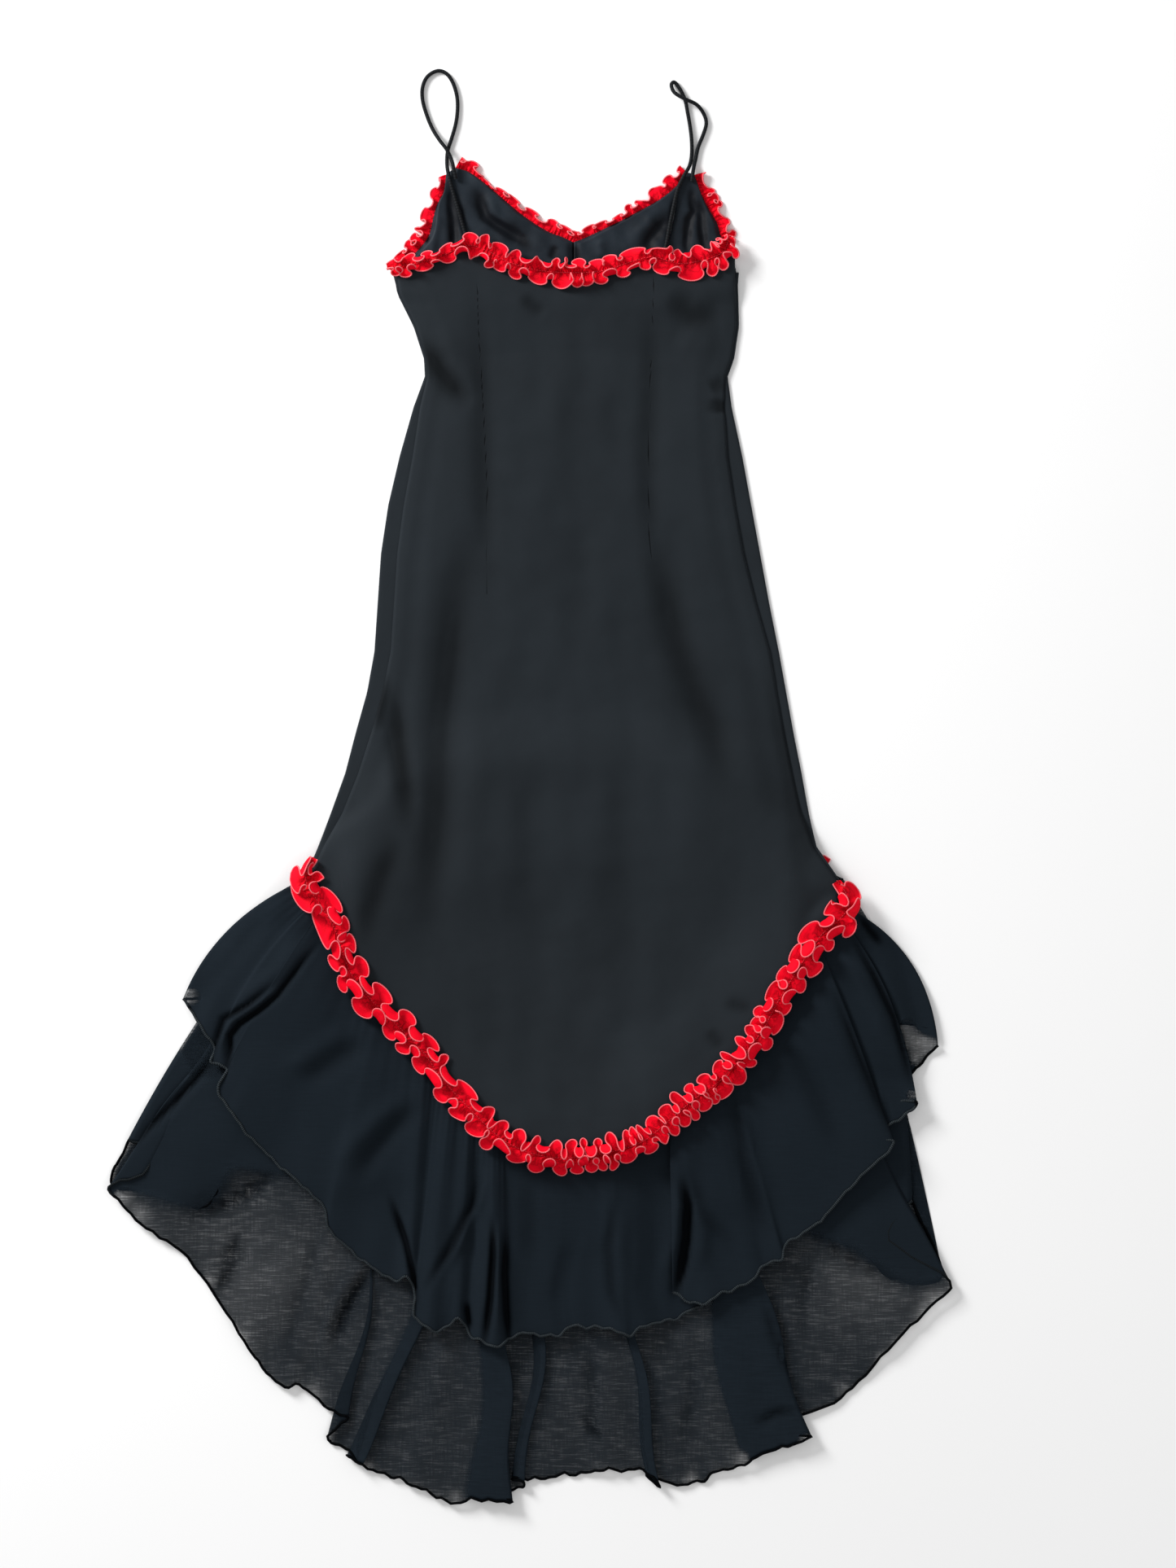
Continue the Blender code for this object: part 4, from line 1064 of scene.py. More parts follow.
CREPE_BLACK = CrepeFinish(
    "black_crepe", dark=(0.0038, 0.0052, 0.0066), light=(0.0212, 0.0270, 0.0328), roughness=0.80,
    sheen=0.02, sheen_roughness=0.45, sheen_tint=(0.75, 0.85, 1.0))
LINING_NAVY = SatinFinish(
    "navy_lining", dark=(0.0020, 0.0032, 0.0056), light=(0.0200, 0.0290, 0.0390), roughness=0.58,
    sheen=0.03, sheen_roughness=0.35, specular=0.12)
SHEER_BLACK = ChiffonFinish(
    "sheer_chiffon", dark=(0.0015, 0.0024, 0.0036), light=(0.0184, 0.0274, 0.0374),
    roughness=0.80, specular=0.04)
# Its dark colour is reached mostly by painted shade in the gathers and crinkles.
RUFFLE_RED = RuffleFinish(
    "red_ruffle", dark=(0.36, 0.0002, 0.005), light=(0.98, 0.0012, 0.018), roughness=0.70,
    sheen_tint=(1.0, 0.35, 0.45), specular=0.06)
OVERLOCK_RED = ThreadFinish(
    "red_overlock_thread", dark=(0.85, 0.075, 0.095), light=(1.0, 0.20, 0.23), roughness=0.55,
    sheen=0.05, sheen_tint=(1.0, 0.6, 0.65), specular=0.15)
SEAM_RED = ThreadFinish(
    "red_seam_thread", dark=(0.35, 0.002, 0.010), light=(0.66, 0.010, 0.030), roughness=0.55,
    sheen=0.2, sheen_tint=(1.0, 0.5, 0.5), specular=0.4, rings_per_metre=900.0,
    ring_depth=0.0002)
# Its light colour is the painted highlight on inner hems; its dark colour the painted shade on
# outer edges.
HEM_BLACK = ThreadFinish(
    "black_hem_thread", dark=(0.0010, 0.0013, 0.0018), light=(0.0380, 0.0470, 0.0530),
    roughness=0.60, sheen_tint=(0.8, 0.9, 1.0), specular=0.02, rings_per_metre=480.0,
    ring_depth=0.0003)
STRAP_BLACK = ThreadFinish(
    "black_strap", dark=(0.0030, 0.0038, 0.0046), light=(0.0090, 0.0105, 0.0125), roughness=0.6,
    sheen=0.02, sheen_tint=(0.8, 0.9, 1.0), rings_per_metre=300.0, ring_depth=0.0003)


class GeometryTree:
    """A geometry nodes tree with named inputs, run once on a path and made a plain mesh."""

    inputs: tuple[tuple[str, str], ...] = ()

    def __init__(self, name: str) -> None:
        """Build the tree."""
        self.tree = bpy.data.node_groups.new(name, "GeometryNodeTree")
        face = self.tree.interface
        self.keys: dict[str, str] = {}
        face.new_socket("Geometry", in_out="INPUT", socket_type="NodeSocketGeometry")
        for label, kind in self.inputs:
            socket = face.new_socket(label, in_out="INPUT", socket_type=kind)
            self.keys[label] = socket.identifier
        face.new_socket("Geometry", in_out="OUTPUT", socket_type="NodeSocketGeometry")
        self.board = Board(self.tree)
        self.start = self.board.add("NodeGroupInput")
        made = self.build()
        real = self.board.add("GeometryNodeRealizeInstances", None, {0: made})
        dressed = self.board.add("GeometryNodeSetMaterial", None, {
            0: real.outputs[0], "Material": self.start.outputs["Material"]})
        self.board.add("NodeGroupOutput", None, {0: dressed.outputs[0]})

    def build(self) -> Socket:
        """Add the tree's own nodes and return their geometry."""
        raise NotImplementedError

    def run(self, name: str, path: Array, outer: Array | None = None, **values: object,
            ) -> Piece:
        """Run the tree along a path.

        Args:
            name: Name of the new piece.
            path: Points of the path, in metres.
            outer: For each point, 1 where it is on the dress's outer edge, 0 inside it; the thread
                gets painted shade where it is near 1 and a painted highlight where it is near 0.
            values: The tree's inputs, by label with _ for a space.

        Returns:
            The new object, a plain mesh at the origin.
        """
        guide = bpy.data.meshes.new(name)
        guide.from_pydata(path.tolist(), [(k, k + 1) for k in range(len(path) - 1)], [])
        if outer is not None:
            mark = guide.attributes.new("outer", "FLOAT", "POINT")
            mark.data.foreach_set("value", outer.astype(np.float32))
        piece = placed(name, guide)
        modifier = piece.modifiers.new(name, "NODES")
        modifier.node_group = self.tree
        for label, value in values.items():
            modifier[self.keys[label.replace("_", " ")]] = value
        graph = bpy.context.evaluated_depsgraph_get()
        made = bpy.data.meshes.new_from_object(
            piece.evaluated_get(graph), preserve_all_data_layers=True, depsgraph=graph)
        piece.modifiers.remove(modifier)
        piece.data = made
        made.name = name
        bpy.data.meshes.remove(guide)
        return piece


class PipingTree(GeometryTree):
    """Lays a round binding, hem roll or strap along a path."""

    inputs = (("Radius", "NodeSocketFloat"), ("Sides", "NodeSocketInt"),
              ("Material", "NodeSocketMaterial"))

    def build(self) -> Socket:
        """Sweep a circle along the path, which keeps how far along it each point lies."""
        add = self.board.add
        path = add("GeometryNodeMeshToCurve", None, {0: self.start.outputs[0]})
        length = add("GeometryNodeSplineParameter").outputs["Length"]
        marked = add("GeometryNodeStoreNamedAttribute", {"data_type": "FLOAT", "domain": "POINT"}, {
            0: path.outputs[0], "Name": "along", "Value": length})
        ring = add("GeometryNodeCurvePrimitiveCircle", {"mode": "RADIUS"}, {
            "Resolution": self.start.outputs["Sides"], "Radius": self.start.outputs["Radius"]})
        swept = add("GeometryNodeCurveToMesh", None, {
            "Curve": marked.outputs[0], "Profile Curve": ring.outputs[0], "Fill Caps": True})
        return add("GeometryNodeSetShadeSmooth", None, {0: swept.outputs[0]}).outputs[0]


class StitchTree(GeometryTree):
    """Sets short stitches along a path, one at every pitch."""

    inputs = (("Pitch", "NodeSocketFloat"), ("Stitch", "NodeSocketVector"),
              ("Material", "NodeSocketMaterial"))

    def build(self) -> Socket:
        """Place a rounded stitch at each pitch, in line with the path."""
        add = self.board.add
        path = add("GeometryNodeMeshToCurve", None, {0: self.start.outputs[0]})
        spaced = add("GeometryNodeResampleCurve", {"mode": "LENGTH"}, {
            0: path.outputs[0], "Length": self.start.outputs["Pitch"]})
        grain = add("GeometryNodeMeshUVSphere", None, {"Segments": 8, "Rings": 5, "Radius": 1.0})
        heading = add("GeometryNodeInputTangent").outputs[0]
        turned = add("FunctionNodeAlignRotationToVector", {"axis": "X"}, {"Vector": heading})
        stitches = add("GeometryNodeInstanceOnPoints", None, {
            "Points": spaced.outputs[0], "Instance": grain.outputs[0],
            "Rotation": turned.outputs[0], "Scale": self.start.outputs["Stitch"]})
        return add("GeometryNodeSetShadeSmooth", None, {0: stitches.outputs[0]}).outputs[0]


@dataclass
class Workshop:
    """What every piece shares: the pile it is laid on, the makers and the finishes."""

    pile: Pile = field(default_factory=Pile)
    cloth: ClothMaker = field(default_factory=ClothMaker)
    piping: PipingTree = field(default_factory=lambda: PipingTree("piping"))
    stitches: StitchTree = field(default_factory=lambda: StitchTree("stitches"))
    finishes: dict[str, Material] = field(default_factory=dict)

    def finish(self, finish: Finish) -> Material:
        """Return the material of a finish, made once."""
        if finish.name not in self.finishes:
            self.finishes[finish.name] = finish.make()
        return self.finishes[finish.name]

    def laid(self, across: Array, down: Array, thickness: float, reach: int) -> Array:
        """Return the height of the middle of cloth that rests on the pile or the floor."""
        under = self.pile.rest(across, down, reach)
        return under + np.where(under > 0, GAP, 0.0) + thickness / 2

    def hem(self, name: str, path: Array, radius: float, finish: Finish, sides: int = 6,
            outer: Array | None = None) -> Piece:
        """Lay a round edge along a path, no lower than the floor."""
        path = path.copy()
        path[:, 2] = np.maximum(path[:, 2], radius)
        return self.piping.run(
            name, path, outer, Radius=radius, Sides=sides, Material=self.finish(finish))


@dataclass(frozen=True)
class Cut:
    """The flat cut of a piece of cloth, and what it lies on."""

    width: float
    length: float
    area: float
    rests_on: tuple[str, ...]
    hold: Hold = Hold.LAID


def hand_over(piece: Piece, slot: str, node: str | None = None) -> None:
    """Say what a finished piece is.

    Args:
        piece: The piece.
        slot: The record's material slot.
        node: The solid that it stands for.
    """
    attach(piece, "root")
    if node:
        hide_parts(node)
    skin = sum(face.area for face in piece.data.polygons)
    top = max(corner[2] for corner in piece.bound_box)
    LOG.info("%s: %d faces, %.4f square metres of skin, top at %.4f, slot %s",
             piece.name, len(piece.data.polygons), skin, top, slot)


@dataclass
class Flounce:
    """A sheer tier of the skirt, folded as its table of turns says, with a rolled hem.

    Heights are in metres and widths in steps of the grid. Shares run from the seam to the hem,
    or from the left side to the right one.
    """

    name: str
    turns: tuple[Turn, ...]
    bow: Bow
    seam: Callable[[Array], Array]
    reach: int
    cut: Cut
    creases: tuple[Crease, ...] = ()
    per_turn: int = 5
    rows: int = 64
    seed: int = 1
    tuck: float = 6.0
    bow_across: float = 0.8
    bow_up: float = 0.6
    sweep: float = 0.0
    bends: float = 0.0
    bend_length: float = 34.0
    bend_spread: float = 90.0
    ripple: float = 3.0
    ripples: tuple[float, ...] = (0.21, 0.33, 0.12)
    ripple_band: float = 0.14
    seam_lift: float = 0.35
    full_at: float = 0.30
    gather_height: float = 0.0012
    gather_reach: float = 0.16
    flutter: float = 0.0016
    flutter_band: float = 0.4
    slack: float = 0.0012
    crease_shade_full: float = 0.0013
    lined_from: float = 1.0
    lined_rise: float = 0.0008
    lined_blur: int = 1
    doubled_from: float = 4.5
    doubled_cover: float = 0.6
    dense: float = 0.0

    def spread(self, table: Array, share: Array,
               chance: np.random.Generator) -> Grids:
        """Place the cloth between its seam and its hem.

        Args:
            table: The turns, with the columns between them.
            share: The share of the way down of each row.
            chance: Where the draws for the hem's ripples come from.

        Returns:
            Steps across and down.
        """
        seam_at = self.seam(table[:, 0]) - self.tuck
        along = np.linspace(0, 1, len(table))
        middle = np.sin(math.pi * along)
        belly = 4 * share * (1 - share)
        swept = share + self.sweep / 4 * belly * middle ** 1.5
        across = table[:, 0] + (table[:, 1] - table[:, 0]) * swept
        down = seam_at + (table[:, 2] - seam_at) * share
        left = ease(1 - along / self.bow.left_reach) * self.bow.left
        right = ease(1 - (1 - along) / self.bow.right_reach) * self.bow.right
        across = across + belly * (right - left) * self.bow_across
        down = down - belly * (right + left) * self.bow_up
        inside = ease(np.minimum(along, 1 - along) / 0.12)
        bend = np.sin(down / self.bend_length + np.sin(across / self.bend_spread) * 2.5)
        across = across + self.bends * inside * belly * bend
        run = lengths_along(table[:, 1:3])
        waves = [np.sin(run * rate + chance.uniform(0, 2 * math.pi)) for rate in self.ripples]
        lively = self.ripple * (0.75 + 0.65 * middle ** 2)
        near_hem = ease((share - (1 - self.ripple_band)) / self.ripple_band)
        return across, down + lively * np.mean(waves, axis=0) * near_hem

    def marks(self, lift: Array, share: Array, under: Array, steep: Array,
              at: Grids) -> dict[str, list[Array]]:
        """Mark what the finish reads.

        Args:
            lift: Lift of each column, in mm; cloth that turns back on itself is lifted most.
            share: The share of the way down of each row.
            under: Height of what lies under each point.
            steep: How steeply creases press each point.
            at: Steps across and down.

        Returns:
            Grids by name: the painted shade of creases, the painted light round raised hems
                together with the clearing where little cloth lies behind, how
            much its own folds and other cloth back it, and where it lies over other cloth.
        """
        over = ease((under - self.lined_from) / self.lined_rise)
        lined = ease(softened(over, self.lined_blur) * 2 - 1)
        doubled = ease((lift - self.doubled_from) / 1.5) * ease(share / 0.2) * self.doubled_cover
        lined = np.maximum.reduce([lined, doubled, np.full_like(lined, self.dense)])
        lit_and_airy = spotted(*at, LIT_UNDER)
        lined = lined * (1 - ease(2 * lit_and_airy))
        lit_and_airy = np.maximum(lit_and_airy, AIRY_SHARE * spotted(*at, AIRY))
        return {"fold": [crease_shade_mark(steep, self.crease_shade_full)], "lit_and_airy": [lit_and_airy],
                "lined": [lined], "over": [over]}

    def sheet(self, shop: Workshop) -> tuple[Array, dict[str, list[Array]]]:
        """Lay the cloth from its seam to its hem, and mark what its finish reads."""
        table = smooth(self.turns, self.per_turn)
        share = np.linspace(0.0, 1.0, self.rows)[:, None]
        chance = np.random.default_rng(self.seed)
        wander = np.cumsum(chance.uniform(0.4, 1.6, len(table))) * 1.25
        across, down = self.spread(table, share, chance)
        lift = np.clip(table[:, 3], 0.0, None) * MILLIMETRE
        lift = lift * (self.seam_lift + (1 - self.seam_lift) * ease(share / self.full_at))
        fade = np.exp(-share / self.gather_reach)
        gathers = self.gather_height * (1 + np.sin(wander)) / 2 * fade
        near_hem = ease((share - (1 - self.flutter_band)) / self.flutter_band)
        hem = self.flutter * (1 + np.sin(wander * 0.37 + 2)) / 2 * near_hem
        height = shop.laid(across, down, CHIFFON, self.reach) + lift + gathers + hem
        height += Unevenness(self.seed + 7, 0.16, 0.0009).at(*metres(across, down)) + self.slack
        pressed, steep = creased(across, down, self.creases)
        floor = shop.laid(across, down, CHIFFON, 1)
        height = np.maximum(height - pressed, floor)
        marks = self.marks(
            table[:, 3], share, floor - CHIFFON / 2 - GAP, steep, (across, down))
        return points_at(across, down, height), marks

    def make(self, shop: Workshop) -> None:
        """Make the tier and its hem."""
        sheet, marks = self.sheet(shop)
        shop.pile.add(sheet, CHIFFON / 2)
        piece = shop.cloth.shell(f"{self.name}_cloth", [sheet], CHIFFON, shop.finish(SHEER_BLACK),
                                 marks)
        # The hem's thread gets a painted highlight where it lies over other cloth, and painted
        # shade on the dress's outer edge.
        hem_highlight = OVER_HIGHLIGHT + (1 - OVER_HIGHLIGHT) * self.dense
        outer = 1 - hem_highlight * marks["over"][0][-1]
        hem = shop.hem(f"{self.name}_hem", sheet[-1] + np.array([0.0, 0.0, HEM_RAISE]),
                       ROLLED_HEM_RADIUS, HEM_BLACK, 8, outer)
        hand_over(hem, "sheer_chiffon")
        hand_over(piece, "sheer_chiffon", self.name)


@dataclass
class Ruffle:
    """A gathered strip stitched down along its middle, with overlocked edges that stand up.

    Each wave draws its own numbers between the pairs of limits below, and paces and widths say
    how long the waves are and how wide the strip is from the start of its route to its end.
    """

    name: str
    route: tuple[Place, ...]
    waves: int
    half_width: float
    rise: float
    seed: int
    cut: Cut
    per_wave: int = 34
    rows: int = 10
    reach: int = 2
    middle: float = 0.58
    swing: float = 0.46
    bulge: float = 3.0
    lobe: float = 0.40
    lean: float = 1.3
    curl: float = 0.52
    fine: float = 0.0007
    crimp: float = 0.0005
    tip: float = 0.0016
    tip_from: float = 0.7
    spans: tuple[float, float] = (0.50, 1.50)
    strengths: tuple[float, float] = (0.72, 1.25)
    bulges: tuple[float, float] = (0.35, 1.0)
    delays: tuple[float, float] = (-0.8, 0.8)
    nibbles: tuple[float, float] = (-0.16, 0.04)
    widths: tuple[float, ...] = (1.0, 1.0)
    taper: float = 0.0
    end_width: float = 0.30
    paces: tuple[float, ...] = (1.0, 1.0)
    stitched: bool = True
    line: Array = field(init=False)
    along: Array = field(init=False)
    side: Array = field(init=False)
    chance: np.random.Generator = field(init=False)

    def __post_init__(self) -> None:
        """Measure the route and start the draws."""
        self.line = smooth(self.route, 14)
        self.along = lengths_along(self.line)
        run = np.gradient(self.line, self.along, axis=0)
        run /= np.linalg.norm(run, axis=1)[:, None]
        self.side = np.stack([run[:, 1], -run[:, 0]], axis=-1)
        self.chance = np.random.default_rng(self.seed)

    @staticmethod
    def spread_over(values: Sequence[float], at: Array) -> Array:
        """Read values that are spread evenly from 0 to 1."""
        return np.interp(at, np.linspace(0, 1, len(values)), values)

    def drawn(self, wave: Array, limits: tuple[float, float] = (-1.0, 1.0)) -> Array:
        """Draw two numbers for each wave and blend from one to the next."""
        values = self.chance.uniform(*limits, 2 * self.waves + 3)
        below = np.floor(2 * wave).astype(int)
        part = ease(2 * wave - below)
        return values[below] * (1 - part) + values[below + 1] * part

    def on_route(self, at: Array, out: Array) -> Grids:
        """Return places beside the route.

        Args:
            at: How far along the route, in steps.
            out: How far to its left, in steps.

        Returns:
            Steps across and down.
        """
        at = np.clip(at, 0.0, self.along[-1])
        across = np.interp(at, self.along, self.line[:, 0])
        down = np.interp(at, self.along, self.line[:, 1])
        across = across + out * np.interp(at, self.along, self.side[:, 0])
        down = down + out * np.interp(at, self.along, self.side[:, 1])
        return across, down

    def half(self, direction: int, shift: float) -> tuple[Array, Array, Array, Array]:
        """Shape the cloth on one side of the stitching.

        Args:
            direction: 1 for the left of the route, -1 for its right.
            shift: How far this side's waves are moved along, in radians.

        Returns:
            Steps across and down, the lift, and the share of the way to the edge.
        """
        count = self.waves * self.per_wave + 1
        wave = np.arange(count) / self.per_wave
        paces = self.spread_over(self.paces, np.linspace(0, 1, self.waves))
        spans = self.chance.uniform(*self.spans, self.waves) * paces
        starts = np.concatenate([[0.0], np.cumsum(spans)]) * self.along[-1] / spans.sum()
        at = np.interp(wave, np.arange(self.waves + 1), starts)
        pitch = self.along[-1] * np.interp(wave, np.arange(self.waves), paces) / paces.sum()
        strength = self.drawn(wave, self.strengths)
        bulge = self.drawn(wave, self.bulges) * self.bulge
        lean = self.drawn(wave) * self.lean
        phase = 2 * math.pi * wave + shift + self.drawn(wave, self.delays)
        v = np.linspace(0.0, 1.0, self.rows)[:, None]
        grown = v ** 1.5
        slide = pitch * (bulge * np.sin(2 * phase) / (4 * math.pi)
                         + (self.lobe + lean) * np.sin(phase) / (2 * math.pi)) * grown
        up = (1 - np.cos(phase)) / 2 + lean * 0.30 * np.sin(phase)
        lift = self.rise * strength * np.clip(up + 0.15, 0.0, None) * v ** 1.2
        fine = np.sin(3 * phase + self.drawn(wave, (-2.0, 2.0))) * self.fine * v * (1 - v) * 4
        turn = wave * 2 * math.pi * 4.0 + self.drawn(wave, (-2.0, 2.0))
        crimp = (1 + np.sin(turn)) * self.crimp * (1 - v) ** 2
        beyond = np.clip(v - self.tip_from, 0.0, None)
        tip = self.drawn(wave) * self.tip * beyond / (1 - self.tip_from)
        round_wave = (np.cos(phase) + 0.12 * np.cos(3 * phase)) / 1.12
        reach = self.middle + self.swing * round_wave * strength
        reach = reach + self.drawn(wave, self.nibbles)
        fold = (1 - np.cos(phase)) / 2 * np.clip(strength, 0.0, 1.0)
        out = self.half_width / STEP * (v * reach + self.curl * np.sin(math.pi * v) * fold)
        out = out * self.spread_over(self.widths, at / self.along[-1])
        if self.taper:
            from_end = np.minimum(at, self.along[-1] - at) / self.taper
            out = out * (self.end_width + (1 - self.end_width) * ease(from_end))
        across, down = self.on_route(at + slide, direction * out)
        lift = np.clip(lift + fine + crimp + tip, 0.0, None)
        return across, down, lift, np.broadcast_to(v, lift.shape)

    def sheet(self, shop: Workshop) -> Grids:
        """Lay the whole strip, from its left edge over the stitching to its right edge."""
        left = self.half(1, 0.0)
        right = self.half(-1, 2.1)
        across, down, lift, reach = (
            np.concatenate([a[::-1], b[1:]]) for a, b in zip(left, right))
        height = shop.laid(across, down, RUFFLE_CLOTH, self.reach) + lift
        return points_at(across, down, height), reach

    def make(self, shop: Workshop) -> None:
        """Make the strip, its overlocked edges and its stitching."""
        sheet, reach = self.sheet(shop)
        gather = np.broadcast_to(np.arange(reach.shape[1]) / self.per_wave, reach.shape)
        shop.pile.add(sheet, RUFFLE_CLOTH / 2)
        piece = shop.cloth.shell(
            f"{self.name}_cloth", [sheet], RUFFLE_CLOTH, shop.finish(RUFFLE_RED),
            {"reach": [reach], "gather": [gather]})
        trims = []
        for label, edge in (("upper", sheet[0]), ("lower", sheet[-1])):
            trims.append(shop.hem(
                f"{self.name}_{label}_overlock", edge, OVERLOCK_RADIUS, OVERLOCK_RED, 5))
        if self.stitched:
            seam = sheet[self.rows - 1] + np.array([0.0, 0.0, RUFFLE_CLOTH])
            trims.append(shop.stitches.run(
                f"{self.name}_stitches", seam, Pitch=STITCH_PITCH, Stitch=STITCH,
                Material=shop.finish(SEAM_RED)))
        for trim in trims:
            hand_over(trim, "red_ruffle")
        hand_over(piece, "red_ruffle", self.name)


@dataclass
class EdgeRuffle(Ruffle):
    """A gathered strip tucked under an edge of the bodice, which lies to the route's left."""

    tuck: float = 0.0055
    tucked_rows: int = 3

    def sheet(self, shop: Workshop) -> Grids:
        """Lay the tucked half flat and let the free half stand in waves."""
        free = self.half(-1, 0.0)
        shape = (self.tucked_rows, free[0].shape[1])
        at = np.broadcast_to(np.linspace(0.0, self.along[-1], shape[1]), shape)
        flat = np.linspace(1.0, 0.0, self.tucked_rows + 1)[:-1, None] * self.tuck / STEP
        still = np.zeros(shape)
        tucked = (*self.on_route(at, np.broadcast_to(flat, shape)), still, still)
        across, down, lift, reach = (np.concatenate(pair) for pair in zip(tucked, free))
        return points_at(across, down, RUFFLE_CLOTH / 2 + lift), reach


@dataclass
class Bodice:
    """The front, the lining and the back of the body."""

    front_cut: Cut
    lining_cut: Cut
    back_cut: Cut
    rows_per_place: int = 8
    front_columns: int = 22
    lining_columns: int = 90
    back_rows: int = 210
    back_columns: int = 120
    front_low_rows: int = 100
    lining_low_rows: int = 16
    lining_inset: float = 9.0
    lining_clear: float = 0.4
    lining_waves: Unevenness = Unevenness(23, 0.022, 0.0005)
    back_waves: Unevenness = Unevenness(5, 0.11, 0.0007)
    back_ripples: Unevenness = Unevenness(6, 0.035, 0.00022)
    lining_edge: float = 0.05
    lining_top_rows: int = 4
    back_edge: float = 0.10
    dart_end: float = 0.97
    reach: int = 2
    bridge_reach: int = 9
    turn_steps: int = 7
    flap_columns: int = 5
    seam_inset: float = 5.0

    def half_front(self, side: Side, end_outer: float, end_inner: float, low_rows: int,
                   columns: int, inset: float = 0.0, centre: float = 0.0,
                   ) -> tuple[Array, Array, int]:
        """Fill half a front with places.

        Args:
            side: Which half.
            end_outer: How far down it reaches at the side.
            end_inner: How far down it reaches at the centre.
            low_rows: Rows below the armhole.
            columns: Columns from the side to the centre.
            inset: How far in from the side it stays below the armhole.
            centre: How far it stays from the centre line.

        Returns:
            Steps across and down, and the first row below the armhole.
        """
        outer = smooth(ARMHOLES[side], self.rows_per_place)
        inner = smooth(NECKS[side], self.rows_per_place)
        first = len(outer) - 1
        part = np.linspace(0, 1, low_rows + 1)[1:]
        down = outer[-1, 1] + (end_outer - outer[-1, 1]) * part
        low = np.stack([section(side.name.lower(), down), down], axis=-1)
        middle = np.full(low_rows, float(CENTRE_FRONT))
        low_inner = np.stack([middle, inner[-1, 1] + (end_inner - inner[-1, 1]) * part], axis=-1)
        outer = np.vstack([outer, low])
        inner = np.vstack([inner, low_inner])
        outer[first:, 0] += side.value * inset * ease(np.arange(len(outer) - first) / 4 + 0.4)
        inner[first:, 0] -= side.value * centre
        share = np.linspace(0.0, 1.0, columns + 1)
        row_share = np.clip((np.arange(len(outer)) - first) / (len(outer) - first), 0, 1)
        bent = share + row_share[:, None] * (share * (2 - share) - share)
        across = outer[:, :1] + (inner[:, :1] - outer[:, :1]) * share
        down_grid = outer[:, 1:] + (inner[:, 1:] - outer[:, 1:]) * bent
        if side is Side.RIGHT:
            return across[:, ::-1], down_grid[:, ::-1], first
        return across, down_grid, first

    def front(self, shop: Workshop) -> None:
        """Make the front, which turns round both sides to the side seams on top."""
        sheets = []
        turn = SIDE_TURN / STEP
        for side in Side:
            across, down, first = self.half_front(
                side, SIDE_SEAM_END, FRONT_SEAM_AT_CENTRE, self.front_low_rows,
                self.front_columns, turn)
            height = shop.laid(across, down, CREPE, self.reach)
            sheets.append(points_at(across, down, height))
            edge = 0 if side is Side.LEFT else -1
            side_down = down[first:, edge]
            base = height[first:, edge]
            middle = across[first:, edge]
            angle = np.linspace(-math.pi / 2, math.pi / 2, self.turn_steps)
            round_across = middle[:, None] - side.value * turn * np.cos(angle)
            round_height = base[:, None] + SIDE_TURN / 2 * (1 + np.sin(angle))
            seam = section(f"seam_{side.name.lower()}", side_down)
            seam = seam + side.value * self.seam_inset
            flap = np.linspace(0, 1, self.flap_columns + 1)[1:]
            flap_across = middle[:, None] + (seam - middle)[:, None] * flap
            flap_height = np.repeat((base + SIDE_TURN)[:, None], self.flap_columns, axis=1)
            wrap_across = np.concatenate([round_across, flap_across], axis=1)
            wrap_height = np.concatenate([round_height, flap_height], axis=1)
            if side is Side.LEFT:
                wrap_across, wrap_height = wrap_across[:, ::-1], wrap_height[:, ::-1]
            wrap_down = np.repeat(side_down[:, None], wrap_across.shape[1], axis=1)
            sheets.append(points_at(wrap_across, wrap_down, wrap_height))
        for sheet in sheets:
            shop.pile.add(sheet, CREPE / 2)
        marks = {"dart": [np.ones(sheet.shape[:2]) for sheet in sheets],
                 "fold": [np.zeros(sheet.shape[:2]) for sheet in sheets]}
        piece = shop.cloth.shell(
            "front_panel_cloth", sheets, CREPE, shop.finish(CREPE_BLACK), marks)
        hand_over(piece, "black_crepe", "front_panel")

    def linings(self, shop: Workshop) -> None:
        """Make the two halves of the lining that show above the back."""
        for side in Side:
            across, down, _ = self.half_front(
                side, LINING_END, LINING_END_AT_CENTRE, self.lining_low_rows,
                self.lining_columns, self.lining_inset, self.lining_clear)
            pressed, steep = creased(across, down, LINING_CREASES)
            fullness = LINING_FULLNESS - pressed
            fullness += self.lining_waves.at(*metres(across, down))
            share = np.linspace(0, 1, across.shape[1])
            edges = ease(np.minimum(share, 1 - share) / self.lining_edge)
            top = ease(np.arange(len(across)) / self.lining_top_rows)[:, None]
            height = shop.laid(across, down, CREPE, 1) + np.clip(fullness, 0, None) * edges * top
            sheet = points_at(across, down, height)
            shop.pile.add(sheet, CREPE / 2)
            name = f"lining_{side.name.lower()}"
            piece = shop.cloth.shell(f"{name}_cloth", [sheet], CREPE, shop.finish(LINING_NAVY),
                                     {"fold": [crease_shade_mark(steep, LINING_CREASE_SHADE_FULL)]})
            hand_over(piece, "navy_lining", name)

